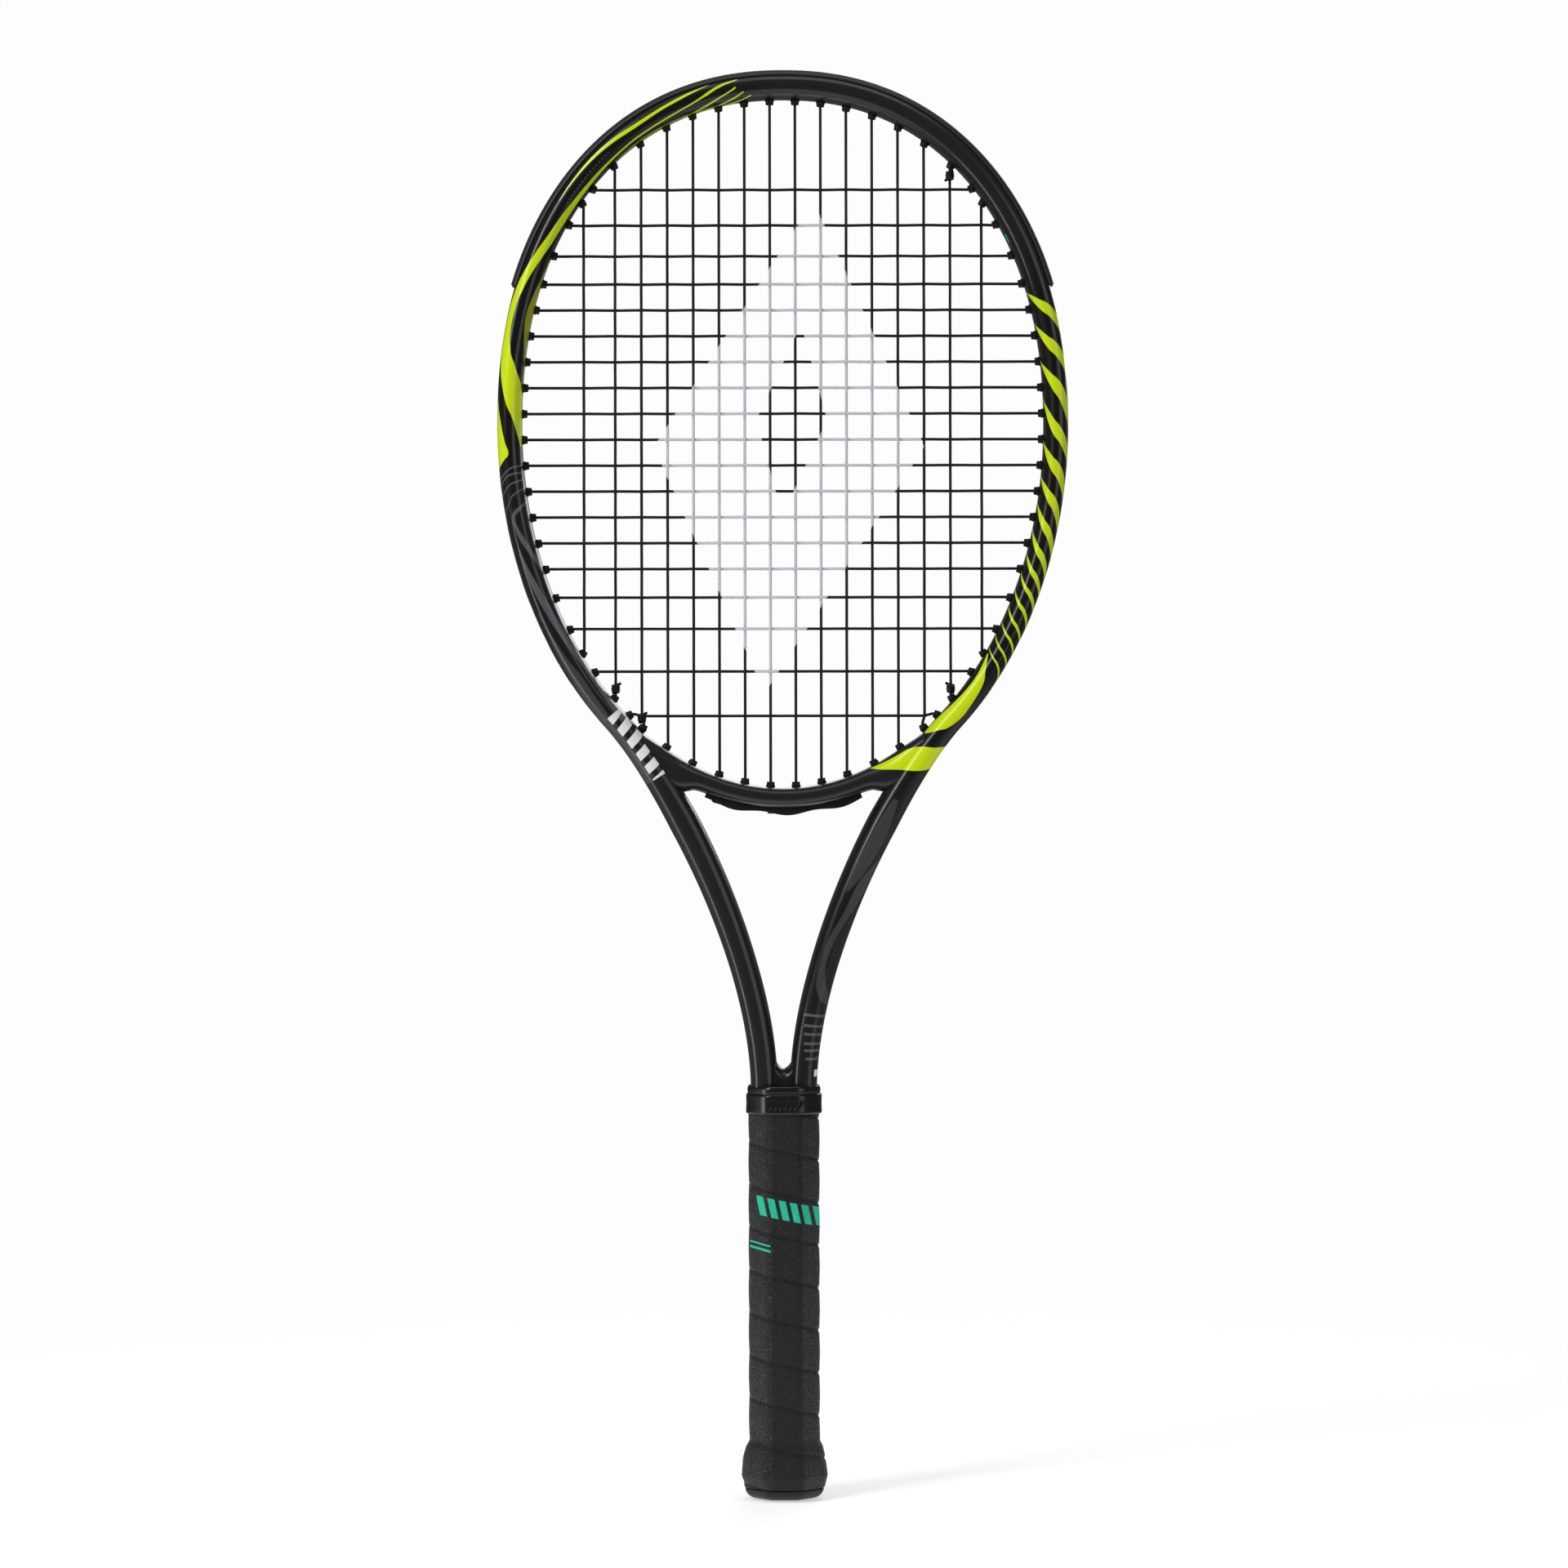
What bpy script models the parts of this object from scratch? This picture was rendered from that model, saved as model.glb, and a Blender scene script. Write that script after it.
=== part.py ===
"""Tennis racket, 27 in long, 16 mains by 19 crosses.

+Z runs from the butt to the tip, +X across the face, and -Y is the front."""

import math

import bmesh
import bpy
import numpy as np

MM = 0.001
GAP = 0.3

# Hoop: the inner line of the head is a superellipse whose upper and lower halves differ.
HEAD_CENTRE_Z = 515.4
HEAD_HALF_WIDTH = 125.3
HEAD_RISE = 156.6
HEAD_DROP = 174.1
HEAD_POWER_UP = 2.2
HEAD_POWER_DOWN = 1.99
TUBE_HALF_WIDTH = 5.95
SECTION_POWER = 2.5

# Arms: they leave the hoop at this angle, sweep inwards and run down into the handle.
ARM_LEAVES_AT = math.radians(-52.1)
ARM_HANDLE_TOP = 44.4
ARM_HANDLE_BOTTOM = 61.8
NECK_X = 9.5
NECK_Z = 196.0
SHAFT_X = 5.8
SHAFT_TOP_Z = 176.0
SHAFT_END_Z = 30.0

# Half width and half depth of the tube by height.
WIDTH_Z = (SHAFT_TOP_Z, 198.0, 255.0, 325.0, 374.0, 420.0)
WIDTHS = (5.4, 6.6, 6.75, 7.45, TUBE_HALF_WIDTH, TUBE_HALF_WIDTH)
DEPTH_Z = (SHAFT_TOP_Z, 198.0, 300.0, 400.0, 520.0, 680.0)
DEPTHS = (8.5, 11.2, 11.8, 12.6, 12.6, 11.4)

# String groove on the outside of the hoop.
GROOVE_HALF_WIDTH = 4.0
GROOVE_FLOOR_HALF_WIDTH = 3.5
GROOVE_DEPTH = 2.6
GROOVE_ENDS_Z = (314.0, 327.0)

# Throat bridge.
BRIDGE_HALF_WIDTH = 5.1
BRIDGE_X = (36.0, 42.0, 49.0, 56.0, 62.0)
BRIDGE_SINKS_X = (58.0, 72.0)
BRIDGE_SINK = 1.6
BRIDGE_WIDTHS = (BRIDGE_HALF_WIDTH, 5.6, 7.2, 6.0, 4.0)
BRIDGE_HALF_DEPTH = 10.6
WEB_TOP_Z = 205.0
WEB_HALF_WIDTH = 4.6
WEB_HALF_DEPTH = 6.0

HOOP_STEP = 14.0
BRIDGE_STATIONS = 19

# Grommets and bumper guard.
BARREL_RADIUS = 1.75
BORE_RADIUS = 1.05
HOLE_RADIUS = 2.1
BARREL_STICKS_IN = 2.5
STRIP_THICKNESS = 1.0
BUMPER_ENDS_Z = 580.5
SIDE_STRIP_STARTS_Z = 579.4
BUMPER_CROSSES = 4
BUMPER_PROUD = 1.9
SIDE_STRIP_ENDS_Z = 333.0
SHOULDER_HOLE_ANGLE = math.radians(-37)
THROAT_STRIP_HALF_WIDTH = 33.5
THROAT_STRIP_BULGE = 1.5

LANE_HALF_WIDTH = 2.7
BUMPER_HALF_DEPTH = 9.0
THROAT_STRIP_WAVE = 23.0

# Strings.
STRING_RADIUS = 0.68
WEAVE = 1.55
GROOVE_LANE = 1.6
MAIN_PITCH = 12.15
MAIN_PITCH_GROWTH = 0.075
LAST_MAIN_EXTRA = 2.4
MAINS_EACH_SIDE = 8
BRIDGE_MAINS = 3
SHOULDER_MAINS = 3
STEEP_MAINS = 2
FIRST_CROSS_Z = 628.6
CROSS_STEPS_TOP = (17.1, 14.8, 13.5)
CROSS_PITCH = 12.44
CROSS_PITCHES = 11
CROSS_STEPS_BOTTOM = (13.7, 15.1, 20.5, 21.4)
LANE_SHIFT = 1.8
BEND_CLEARANCE = 0.8
AIM_ROUNDS = 6
AIM_REACH = 1.4
CORNER_MAIN = 5
LANE_STEP = 9.0
KINK = 3.0

# Handle: half sizes of the octagon, measured over the grip.
GRIP_HALF_X = 17.0
SHALLOWER_BY = 2.0
CORNER_CUT = 0.54
GRIP_THICKNESS = 1.7
GRIP_BOTTOM_Z = 5.6
GRIP_TOP_Z = 188.0
GRIP_PITCH = 20.0
GRIP_STRIP = 19.4
GRIP_LEVELS = 3
PALLET_HALF_X = 15.0
PALLET_BOTTOM_Z = 10.0
PALLET_TOP_Z = 176.0
POCKET_HALF_X = 11.6
POCKET_HALF_Y = 8.9
POCKET_CORNER = 17.8

# Butt cap, as half widths at heights.
CAP_FLAT_HALF_X = 10.0
CAP_FLOOR_Z = 3.2
CAP_TOP_Z = 24.0
SEAT_Z = (6.0, 11.4, 19.0, 24.0, 27.0)
SEAT_HALF_X = (17.7, 19.0, 18.2, 16.9, 15.3)
SEAT_RELIEF = 0.95

# Staples through the cap.
STAPLE_Z = 17.0
STAPLE_HALF_WIDTH = 5.0
STAPLE_LENGTH = 5.0

# Trapdoor in the butt cap.
DOOR_HALF_X = 6.5
DOOR_FREE_Y = -4.6
HINGE_Y = 4.9
HINGE_Z = 1.6
DOOR_BOTTOM_Z = 0.3
DOOR_THICKNESS = 1.6
PIN_RADIUS = 0.8
PIN_HALF_LENGTH = 8.1

# Collar and finishing tape round the neck.
TAPE_BOTTOM_Z = 189.2
TAPE_TOP_Z = 194.4
TAPE_HALF_X = 16.3


for old in list(bpy.data.objects):
    bpy.data.objects.remove(old, do_unlink=True)


def material(name, colour, roughness, metallic=0.0):
    made = bpy.data.materials.new(name)
    made.use_nodes = True
    shader = made.node_tree.nodes["Principled BSDF"]
    shader.inputs["Base Color"].default_value = (*colour, 1.0)
    shader.inputs["Roughness"].default_value = roughness
    shader.inputs["Metallic"].default_value = metallic
    return made


def add(name, points, faces, look=None):
    """Makes one object from points in millimetres, with all its faces turned outwards."""
    shape = bmesh.new()
    corners = [shape.verts.new([c * MM for c in point]) for point in points]
    for face in faces:
        shape.faces.new([corners[i] for i in face])
    bmesh.ops.recalc_face_normals(shape, faces=shape.faces)
    mesh = bpy.data.meshes.new(name)
    shape.to_mesh(mesh)
    shape.free()
    made = bpy.data.objects.new(name, mesh)
    bpy.context.scene.collection.objects.link(made)
    if look:
        mesh.materials.append(look)
    return made


def loft(rings):
    """Points and faces of a closed skin through rings of equal length."""
    count = len(rings[0])
    points = [point for ring in rings for point in ring]
    faces = [tuple(range(count)), tuple(range(len(points) - count, len(points)))]
    for i in range(len(rings) - 1):
        for j in range(count):
            k = (j + 1) % count
            low, high = i * count, (i + 1) * count
            faces.append((low + j, low + k, high + k, high + j))
    return points, faces


def joined(shapes):
    """Several skins as one list of points and one list of faces."""
    points, faces = [], []
    for some_points, some_faces in shapes:
        start = len(points)
        points += some_points
        faces += [tuple(i + start for i in face) for face in some_faces]
    return points, faces


def helper(name, points, faces):
    made = add(name, points, faces)
    made.hide_render = True
    made.display_type = "WIRE"
    return made


def boolean(target, tool, operation):
    step = target.modifiers.new(tool.name, "BOOLEAN")
    step.operation = operation
    step.object = tool
    step.solver = "EXACT"


def shade(target, degrees=35):
    target.data.shade_smooth()
    target.data.set_sharp_from_angle(angle=math.radians(degrees))


def block(low, high):
    x0, y0, z0 = low
    x1, y1, z1 = high
    floor = [(x0, y0, z0), (x1, y0, z0), (x1, y1, z0), (x0, y1, z0)]
    return loft([floor, [(x, y, z1) for x, y, _ in floor]])


def bar_x(y, z, radius, half_length, sides=12):
    """A round bar along X."""
    ring = []
    for i in range(sides):
        turn = 2 * math.pi * i / sides
        ring.append((y + radius * math.cos(turn), z + radius * math.sin(turn)))
    return loft([[(x, a, b) for a, b in ring] for x in (-half_length, half_length)])


def octagon(half_x, half_y, cut, z):
    corners = [(half_x - cut, half_y), (half_x, half_y - cut)]
    ring = []
    for sx, sy in ((1, 1), (1, -1), (-1, -1), (-1, 1)):
        pair = corners if sx * sy > 0 else corners[::-1]
        ring += [(sx * x, sy * y, z) for x, y in pair]
    return ring


def handle_ring(half_x, z):
    return octagon(half_x, half_x - SHALLOWER_BY, CORNER_CUT * half_x, z)


# Lines that the frame follows.
def power(value, exponent):
    return math.copysign(abs(value) ** (2 / exponent), value)


def inner_line(angle):
    """Point and outward direction on the inner line of the head."""
    up = math.sin(angle) > 0
    rise = HEAD_RISE if up else HEAD_DROP
    bend = HEAD_POWER_UP if up else HEAD_POWER_DOWN
    x = HEAD_HALF_WIDTH * power(math.cos(angle), bend)
    z = rise * power(math.sin(angle), bend)
    across = math.copysign(abs(x / HEAD_HALF_WIDTH) ** (bend - 1), x) / HEAD_HALF_WIDTH
    along = math.copysign(abs(z / rise) ** (bend - 1), z) / rise
    size = math.hypot(across, along)
    return np.array((x, HEAD_CENTRE_Z + z)), np.array((across, along)) / size


def head_centre(angle):
    point, outward = inner_line(angle)
    return point + TUBE_HALF_WIDTH * outward


def smooth(value):
    value = min(max(value, 0.0), 1.0)
    return value * value * (3 - 2 * value)


def right_half():
    """Centre line of the right half of the hairpin, from the top down to the end of the shaft."""
    line = [head_centre(a) for a in np.linspace(math.pi / 2, ARM_LEAVES_AT, 400)]
    start, outward = inner_line(ARM_LEAVES_AT)
    start = start + TUBE_HALF_WIDTH * outward
    down = np.array((outward[1], -outward[0]))
    end = np.array((NECK_X, NECK_Z))
    second = start + ARM_HANDLE_TOP * down
    third = end + np.array((0.0, ARM_HANDLE_BOTTOM))
    for u in np.linspace(0, 1, 200)[1:]:
        a, b, c, d = (1 - u) ** 3, 3 * u * (1 - u) ** 2, 3 * u * u * (1 - u), u**3
        line.append(a * start + b * second + c * third + d * end)
    for z in np.arange(NECK_Z - 1, SHAFT_END_Z - 0.5, -1.0):
        share = smooth((NECK_Z - z) / (NECK_Z - SHAFT_TOP_Z))
        line.append(np.array((NECK_X + (SHAFT_X - NECK_X) * share, z)))
    return np.array(line)


def measured(line):
    """Distance gone at each point of a line."""
    return np.concatenate([[0], np.cumsum(np.hypot(*np.diff(line, axis=0).T))])


def outwards(line):
    along = np.gradient(line, axis=0)
    along /= np.hypot(*along.T)[:, None]
    return np.stack([-along[:, 1], along[:, 0]], axis=1)


def face_of(half_width, half_depth, depth):
    """How far out the tube's surface lies at a depth off the middle."""
    share = 1 - abs(depth / half_depth) ** SECTION_POWER
    return half_width * share ** (1 / SECTION_POWER)


def tube_section(half_width, half_depth, groove):
    """Ring of (out, depth) pairs, with the string groove on its outer side."""
    side = []
    for degrees in (180, 150, 118, 90, 52):
        turn = math.radians(degrees)
        out = half_width * power(math.cos(turn), SECTION_POWER)
        side.append((out, half_depth * power(math.sin(turn), SECTION_POWER)))
    side.append((face_of(half_width, half_depth, GROOVE_HALF_WIDTH), GROOVE_HALF_WIDTH))
    side.append((side[-1][0] - groove * GROOVE_DEPTH, GROOVE_FLOOR_HALF_WIDTH))
    return side + [(out, -depth) for out, depth in side[:0:-1]]


def plain_section(half_width, half_depth, count=14):
    ring = []
    for i in range(count):
        turn = 2 * math.pi * i / count
        out = half_width * power(math.cos(turn), SECTION_POWER)
        ring.append((out, half_depth * power(math.sin(turn), SECTION_POWER)))
    return ring


def place(point, outward, section):
    return [
        (point[0] + out * outward[0], depth, point[1] + out * outward[1])
        for out, depth in section
    ]


def tube_size(z):
    return np.interp(z, WIDTH_Z, WIDTHS), np.interp(z, DEPTH_Z, DEPTHS)


def groove_share(z):
    low, high = GROOVE_ENDS_Z
    return smooth((z - low) / (high - low))


# The hairpin's whole centre line, from the left shaft's end over the top to the right one's.
right = right_half()
fine_line = np.concatenate([right[:0:-1] * np.array((-1.0, 1.0)), right])
fine_out = outwards(fine_line)
fine_gone = measured(fine_line)
TOTAL = fine_gone[-1]


def on_line(gone):
    """Point and outward direction at a distance along the hairpin."""
    point = np.array([np.interp(gone, fine_gone, fine_line[:, i]) for i in (0, 1)])
    outward = np.array([np.interp(gone, fine_gone, fine_out[:, i]) for i in (0, 1)])
    return point, outward / np.hypot(*outward)


def gone_at(height):
    """Distance along the hairpin at which its right side passes a height."""
    side = fine_line[len(fine_line) // 2 :, 1]
    return np.interp(-height, -side, fine_gone[len(fine_line) // 2 :])


def stations_between(start, end):
    """Stations along the hairpin, close on the hoop and wide where it runs straight."""
    stations = [start]
    while stations[-1] < end - 1:
        height = on_line(stations[-1])[0][1]
        stations.append(stations[-1] + np.interp(height, (150, 330), (30.0, HOOP_STEP)))
    spread = (end - start) / (stations[-1] - start)
    return [start + (gone - start) * spread for gone in stations]


def swept(stations, section_at):
    rings = []
    for gone in stations:
        point, outward = on_line(gone)
        rings.append(place(point, outward, section_at(gone, point[1])))
    return loft(rings)


def mirrored(shape):
    return [(-x, y, z) for x, y, z in shape[0]], shape[1]


# String holes. Each one is an inner point, a direction outwards, and where it leaves the frame.
def angle_at_x(x, up):
    bend = HEAD_POWER_UP if up else HEAD_POWER_DOWN
    return math.acos((x / HEAD_HALF_WIDTH) ** (bend / 2)) * (1 if up else -1)


def angle_at_z(z):
    up = z > HEAD_CENTRE_Z
    rise = HEAD_RISE if up else HEAD_DROP
    bend = HEAD_POWER_UP if up else HEAD_POWER_DOWN
    return math.asin(abs((z - HEAD_CENTRE_Z) / rise) ** (bend / 2)) * (1 if up else -1)


def main_offsets():
    offsets = []
    for i in range(MAINS_EACH_SIDE):
        offsets.append(MAIN_PITCH * (i + 0.5) + MAIN_PITCH_GROWTH * i * (i + 1) / 2)
    offsets[-1] += LAST_MAIN_EXTRA
    return offsets


def cross_heights():
    steps = [*CROSS_STEPS_TOP, *([CROSS_PITCH] * CROSS_PITCHES), *CROSS_STEPS_BOTTOM]
    return [FIRST_CROSS_Z - sum(steps[:i]) for i in range(len(steps) + 1)]


def floor_level(z):
    """Height of the groove's floor over the tube's centre line."""
    half_width, half_depth = tube_size(z)
    lip = face_of(half_width, half_depth, GROOVE_HALF_WIDTH)
    return lip - GROOVE_DEPTH * groove_share(z)


def lane_level(z):
    return floor_level(z) + GAP + STRIP_THICKNESS + STRING_RADIUS + GAP


def climb(start, direction):
    """Where a hole reaches the string lane on the outside of the hairpin."""
    for reach in np.arange(6.0, 45.0, 0.1):
        point = start + reach * direction
        nearest = np.argmin(np.hypot(*(fine_line - point).T))
        out = (point - fine_line[nearest]) @ fine_out[nearest]
        if out >= lane_level(point[1]):
            return point, fine_gone[nearest]
    return point, fine_gone[nearest]


def hoop_hole(angle):
    inner, outward = inner_line(angle)
    return inner, outward, *climb(inner, outward)


def bridge_hole(angle):
    inner, outward = inner_line(angle)
    depth = 2 * BRIDGE_HALF_WIDTH + 2 * GAP + STRIP_THICKNESS + STRING_RADIUS
    return inner, outward, inner + depth * outward, None


def shoulder_hole(angle):
    inner = inner_line(angle)[0]
    turn = SHOULDER_HOLE_ANGLE
    direction = np.array((math.cos(turn), math.sin(turn)))
    return inner, direction, *climb(inner, direction)


def tip_of(hole):
    """Where a string bends, just clear of its barrel."""
    return hole[0] - (BARREL_STICKS_IN + BEND_CLEARANCE) * hole[1]


def hole_on(line, axis, angle_at, kind, rounds=AIM_ROUNDS):
    """The hole whose barrel, where it sticks in past the frame, sits on a string's own line."""
    aim = line
    for _ in range(rounds):
        inner, direction = kind(angle_at(aim))[:2]
        aim += line - (inner - AIM_REACH * direction)[axis]
    return kind(angle_at(aim))


def low_angle(x):
    return angle_at_x(x, False)


def top_angle(x):
    return angle_at_x(x, True)


main_x = main_offsets()
cross_z = cross_heights()
top_holes = [hole_on(x, 0, top_angle, hoop_hole) for x in main_x]
low_kinds = [bridge_hole] * BRIDGE_MAINS + [shoulder_hole] * STEEP_MAINS
low_kinds += [hoop_hole] * (MAINS_EACH_SIDE - len(low_kinds))
low_holes = [hole_on(x, 0, low_angle, kind) for kind, x in zip(low_kinds, main_x)]
cross_holes = [hole_on(z, 1, angle_at_z, hoop_hole) for z in cross_z]

# The last cross and its main meet close to the frame, so their holes are kept apart.
low_holes[CORNER_MAIN] = hole_on(main_x[CORNER_MAIN], 0, low_angle, hoop_hole, 0)
cross_holes[-1] = hole_on(cross_z[-1], 1, angle_at_z, hoop_hole, 0)


def prism(start, end, radius, sides=6):
    """A straight round bar between two points of the string plane."""
    along = (end - start) / np.hypot(*(end - start))
    across = np.array((-along[1], along[0]))
    rings = []
    for point in (start, end):
        ring = []
        for i in range(sides):
            turn = 2 * math.pi * (i + 0.5) / sides
            side = point + radius * math.cos(turn) * across
            ring.append((side[0], radius * math.sin(turn), side[1]))
        rings.append(ring)
    return loft(rings)


def bars(holes, radius, before, after):
    """Bars along holes, from `before` inside the hoop to `after` past the string lane."""
    made = []
    for inner, direction, lane, _ in holes:
        made.append(prism(inner - before * direction, lane + after * direction, radius))
    return joined(made)


# Materials.
gloss_black = material("frame_lacquer", (0.022, 0.022, 0.026), 0.28)
grommet_black = material("grommet_nylon", (0.012, 0.012, 0.012), 0.55)
string_black = material("string_black", (0.02, 0.02, 0.02), 0.45)
foam = material("handle_foam", (0.12, 0.11, 0.10), 0.8)
cap_black = material("cap_plastic", (0.02, 0.02, 0.022), 0.5)
grip_black = material("grip_synthetic", (0.03, 0.03, 0.032), 0.78)
rubber = material("collar_rubber", (0.015, 0.015, 0.016), 0.62)
tape = material("finishing_tape", (0.025, 0.025, 0.025), 0.6)
steel = material("staple_steel", (0.6, 0.6, 0.58), 0.35, 1.0)

# Hairpin frame: one moulded tube, with a web between its legs below the throat.
def hairpin_section(gone, z):
    half_width, half_depth = tube_size(z)
    return tube_section(half_width, half_depth, groove_share(z))


def clear_section(gone, z):
    half_width, half_depth = tube_size(z)
    return plain_section(half_width + GAP, half_depth + GAP)


all_stations = stations_between(0.0, TOTAL / 2)
all_stations += [TOTAL - gone for gone in all_stations[-2::-1]]
hairpin = add("hairpin_frame", *swept(all_stations, hairpin_section), gloss_black)
web_low = (-WEB_HALF_WIDTH, -WEB_HALF_DEPTH, SHAFT_END_Z + 2)
web_high = (WEB_HALF_WIDTH, WEB_HALF_DEPTH, WEB_TOP_Z)
boolean(hairpin, helper("web", *block(web_low, web_high)), "UNION")
frame_holes = bars(top_holes + low_holes[BRIDGE_MAINS:] + cross_holes, HOLE_RADIUS, 6, 4)
frame_holes = joined([frame_holes, mirrored(frame_holes)])
boolean(hairpin, helper("frame_holes", *frame_holes), "DIFFERENCE")
shade(hairpin)

# Throat bridge: a short moulded arch bonded between the arms.
bridge_rings = []
for angle in np.linspace(ARM_LEAVES_AT, -math.pi - ARM_LEAVES_AT, BRIDGE_STATIONS):
    inner, outward = inner_line(angle)
    width = np.interp(abs(inner[0]), BRIDGE_X, BRIDGE_WIDTHS)
    sink = BRIDGE_SINK * float(np.interp(abs(inner[0]), BRIDGE_SINKS_X, (0, 1)))
    middle = inner + (width + sink) * outward
    bridge_rings.append(place(middle, outward, plain_section(width, BRIDGE_HALF_DEPTH, 12)))
bridge = add("throat_bridge", *loft(bridge_rings), gloss_black)
bridge_holes = bars(low_holes[: BRIDGE_MAINS + SHOULDER_MAINS], HOLE_RADIUS, 6, 4)
bridge_holes = joined([bridge_holes, mirrored(bridge_holes)])
boolean(bridge, helper("bridge_holes", *bridge_holes), "DIFFERENCE")
clearance = helper("hairpin_clearance", *swept(all_stations, clear_section))
boolean(bridge, clearance, "DIFFERENCE")
shade(bridge)


# Bumper guard, side strips and throat strip: each is one nylon moulding with its barrels.
def bumper_section(gone, z):
    half_width, half_depth = tube_size(z)
    floor = floor_level(z) + GAP
    edge = face_of(half_width, half_depth, BUMPER_HALF_DEPTH) + GAP
    crown = face_of(half_width, half_depth, 6.5) + BUMPER_PROUD
    ridge = face_of(half_width, half_depth, 3.0) + BUMPER_PROUD
    lip = face_of(half_width, half_depth, GROOVE_HALF_WIDTH) + GAP
    side = [(edge, BUMPER_HALF_DEPTH), (edge + 0.9, BUMPER_HALF_DEPTH), (crown, 6.5)]
    side += [(ridge, LANE_HALF_WIDTH + 0.3), (floor + STRIP_THICKNESS, LANE_HALF_WIDTH)]
    under = [(floor, GROOVE_FLOOR_HALF_WIDTH - 0.4), (lip, GROOVE_HALF_WIDTH - 0.4)]
    half_ring = under + side
    return half_ring + [(out, -depth) for out, depth in half_ring[::-1]]


def strip_section(gone, z):
    floor = floor_level(z) + GAP
    wide = GROOVE_FLOOR_HALF_WIDTH - 0.4
    top = floor + STRIP_THICKNESS
    return [(floor, wide), (top, wide), (top, -wide), (floor, -wide)]


def grommet_strip(name, shape, barrels, bores):
    made = add(name, *shape, grommet_black)
    boolean(made, helper(name + "_barrels", *barrels), "UNION")
    boolean(made, helper(name + "_bores", *bores), "DIFFERENCE")
    shade(made)
    return made


def barrels_of(holes):
    return bars(holes, BARREL_RADIUS, BARREL_STICKS_IN, -STRING_RADIUS - GAP - 0.5)


def bores_of(holes):
    return bars(holes, BORE_RADIUS, BARREL_STICKS_IN + 2, 1.0)


bumper_end = gone_at(BUMPER_ENDS_Z)
bumper_stations = stations_between(TOTAL / 2, bumper_end)
bumper_stations = [TOTAL - gone for gone in bumper_stations[:0:-1]] + bumper_stations
bumper = swept(bumper_stations, bumper_section)
bumper_holes = top_holes + cross_holes[:BUMPER_CROSSES]
barrels = barrels_of(bumper_holes)
bores = bores_of(bumper_holes)
barrels = joined([barrels, mirrored(barrels)])
bores = joined([bores, mirrored(bores)])
grommet_strip("bumper_guard", bumper, barrels, bores)

strip_stations = stations_between(gone_at(SIDE_STRIP_STARTS_Z), gone_at(SIDE_STRIP_ENDS_Z))
side_strip = swept(strip_stations, strip_section)
side_holes = cross_holes[BUMPER_CROSSES:] + low_holes[BRIDGE_MAINS:]
barrels = barrels_of(side_holes)
bores = bores_of(side_holes)
grommet_strip("grommet_strip_right", side_strip, barrels, bores)
grommet_strip("grommet_strip_left", mirrored(side_strip), mirrored(barrels), mirrored(bores))

throat_rings = []
end_angle = angle_at_x(THROAT_STRIP_HALF_WIDTH, False)
for angle in np.linspace(end_angle, -math.pi - end_angle, 19):
    inner, outward = inner_line(angle)
    base = 2 * BRIDGE_HALF_WIDTH + GAP
    floor = base + STRIP_THICKNESS
    wave = 0.5 + 0.5 * math.cos(2 * math.pi * inner[0] / THROAT_STRIP_WAVE)
    top = floor + 0.5 + THROAT_STRIP_BULGE * wave
    side = [(base, 4.2), (top, 4.2), (top, 3.0), (floor, LANE_HALF_WIDTH)]
    section = side + [(out, -depth) for out, depth in side[::-1]]
    throat_rings.append(place(inner, outward, section))
barrels = barrels_of(low_holes[:BRIDGE_MAINS])
bores = bores_of(low_holes[:BRIDGE_MAINS])
barrels = joined([barrels, mirrored(barrels)])
bores = joined([bores, mirrored(bores)])
grommet_strip("throat_grommet_strip", loft(throat_rings), barrels, bores)


# Strings: one length for the mains and one for the crosses, each laced through its holes.
def tube(path, radius, sides=4):
    """A closed tube along 3-D points, its rings carried along without twist."""
    path = [np.array(point, float) for point in path]
    steps = [b - a for a, b in zip(path, path[1:])]
    steps = [step / np.linalg.norm(step) for step in steps]
    rings = []
    across = np.cross(steps[0], (0.3, 0.9, 0.1))
    for i, point in enumerate(path):
        along = steps[max(i - 1, 0)] + steps[min(i, len(steps) - 1)]
        along /= np.linalg.norm(along)
        across = across - (across @ along) * along
        across /= np.linalg.norm(across)
        up = np.cross(along, across)
        ring = []
        for k in range(sides):
            turn = 2 * math.pi * k / sides
            ring.append(point + radius * (math.cos(turn) * across + math.sin(turn) * up))
        rings.append([tuple(corner) for corner in ring])
    return loft(rings)


def flat(point, depth=0.0, side=1):
    return (side * point[0], depth, point[1])


def lane_points(first, second, depth, side):
    """The loop outside the frame from one hole to the next on the same side."""
    if first[3] is None:
        step = second[2] - first[2]
        shift = LANE_SHIFT * step / np.hypot(*step)
        return [flat(first[2] + shift, depth, side), flat(second[2] - shift, depth, side)]
    turn = 1 if second[3] > first[3] else -1
    start, end = first[3] + turn * LANE_SHIFT, second[3] - turn * LANE_SHIFT
    count = max(round(abs(end - start) / LANE_STEP), 1)
    points = []
    for gone in np.linspace(start, end, count + 1):
        point, outward = on_line(gone)
        points.append(flat(point + lane_level(point[1]) * outward, depth, side))
    return points


def loop(first, second, depth, side=1):
    """From inside the hoop out through one hole, along, and back in through the next."""
    points = [flat(tip_of(first), 0, side), flat(first[2], 0, side)]
    points += lane_points(first, second, depth, side)
    return points + [flat(second[2], 0, side), flat(tip_of(second), 0, side)]


def crosses_main(i, j):
    """Whether main i and cross j, counted out from the axis and down from the top, meet."""
    reaches = main_x[i] < tip_of(cross_holes[j])[0]
    return reaches and tip_of(low_holes[i])[1] < cross_z[j] < tip_of(top_holes[i])[1]


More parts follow.
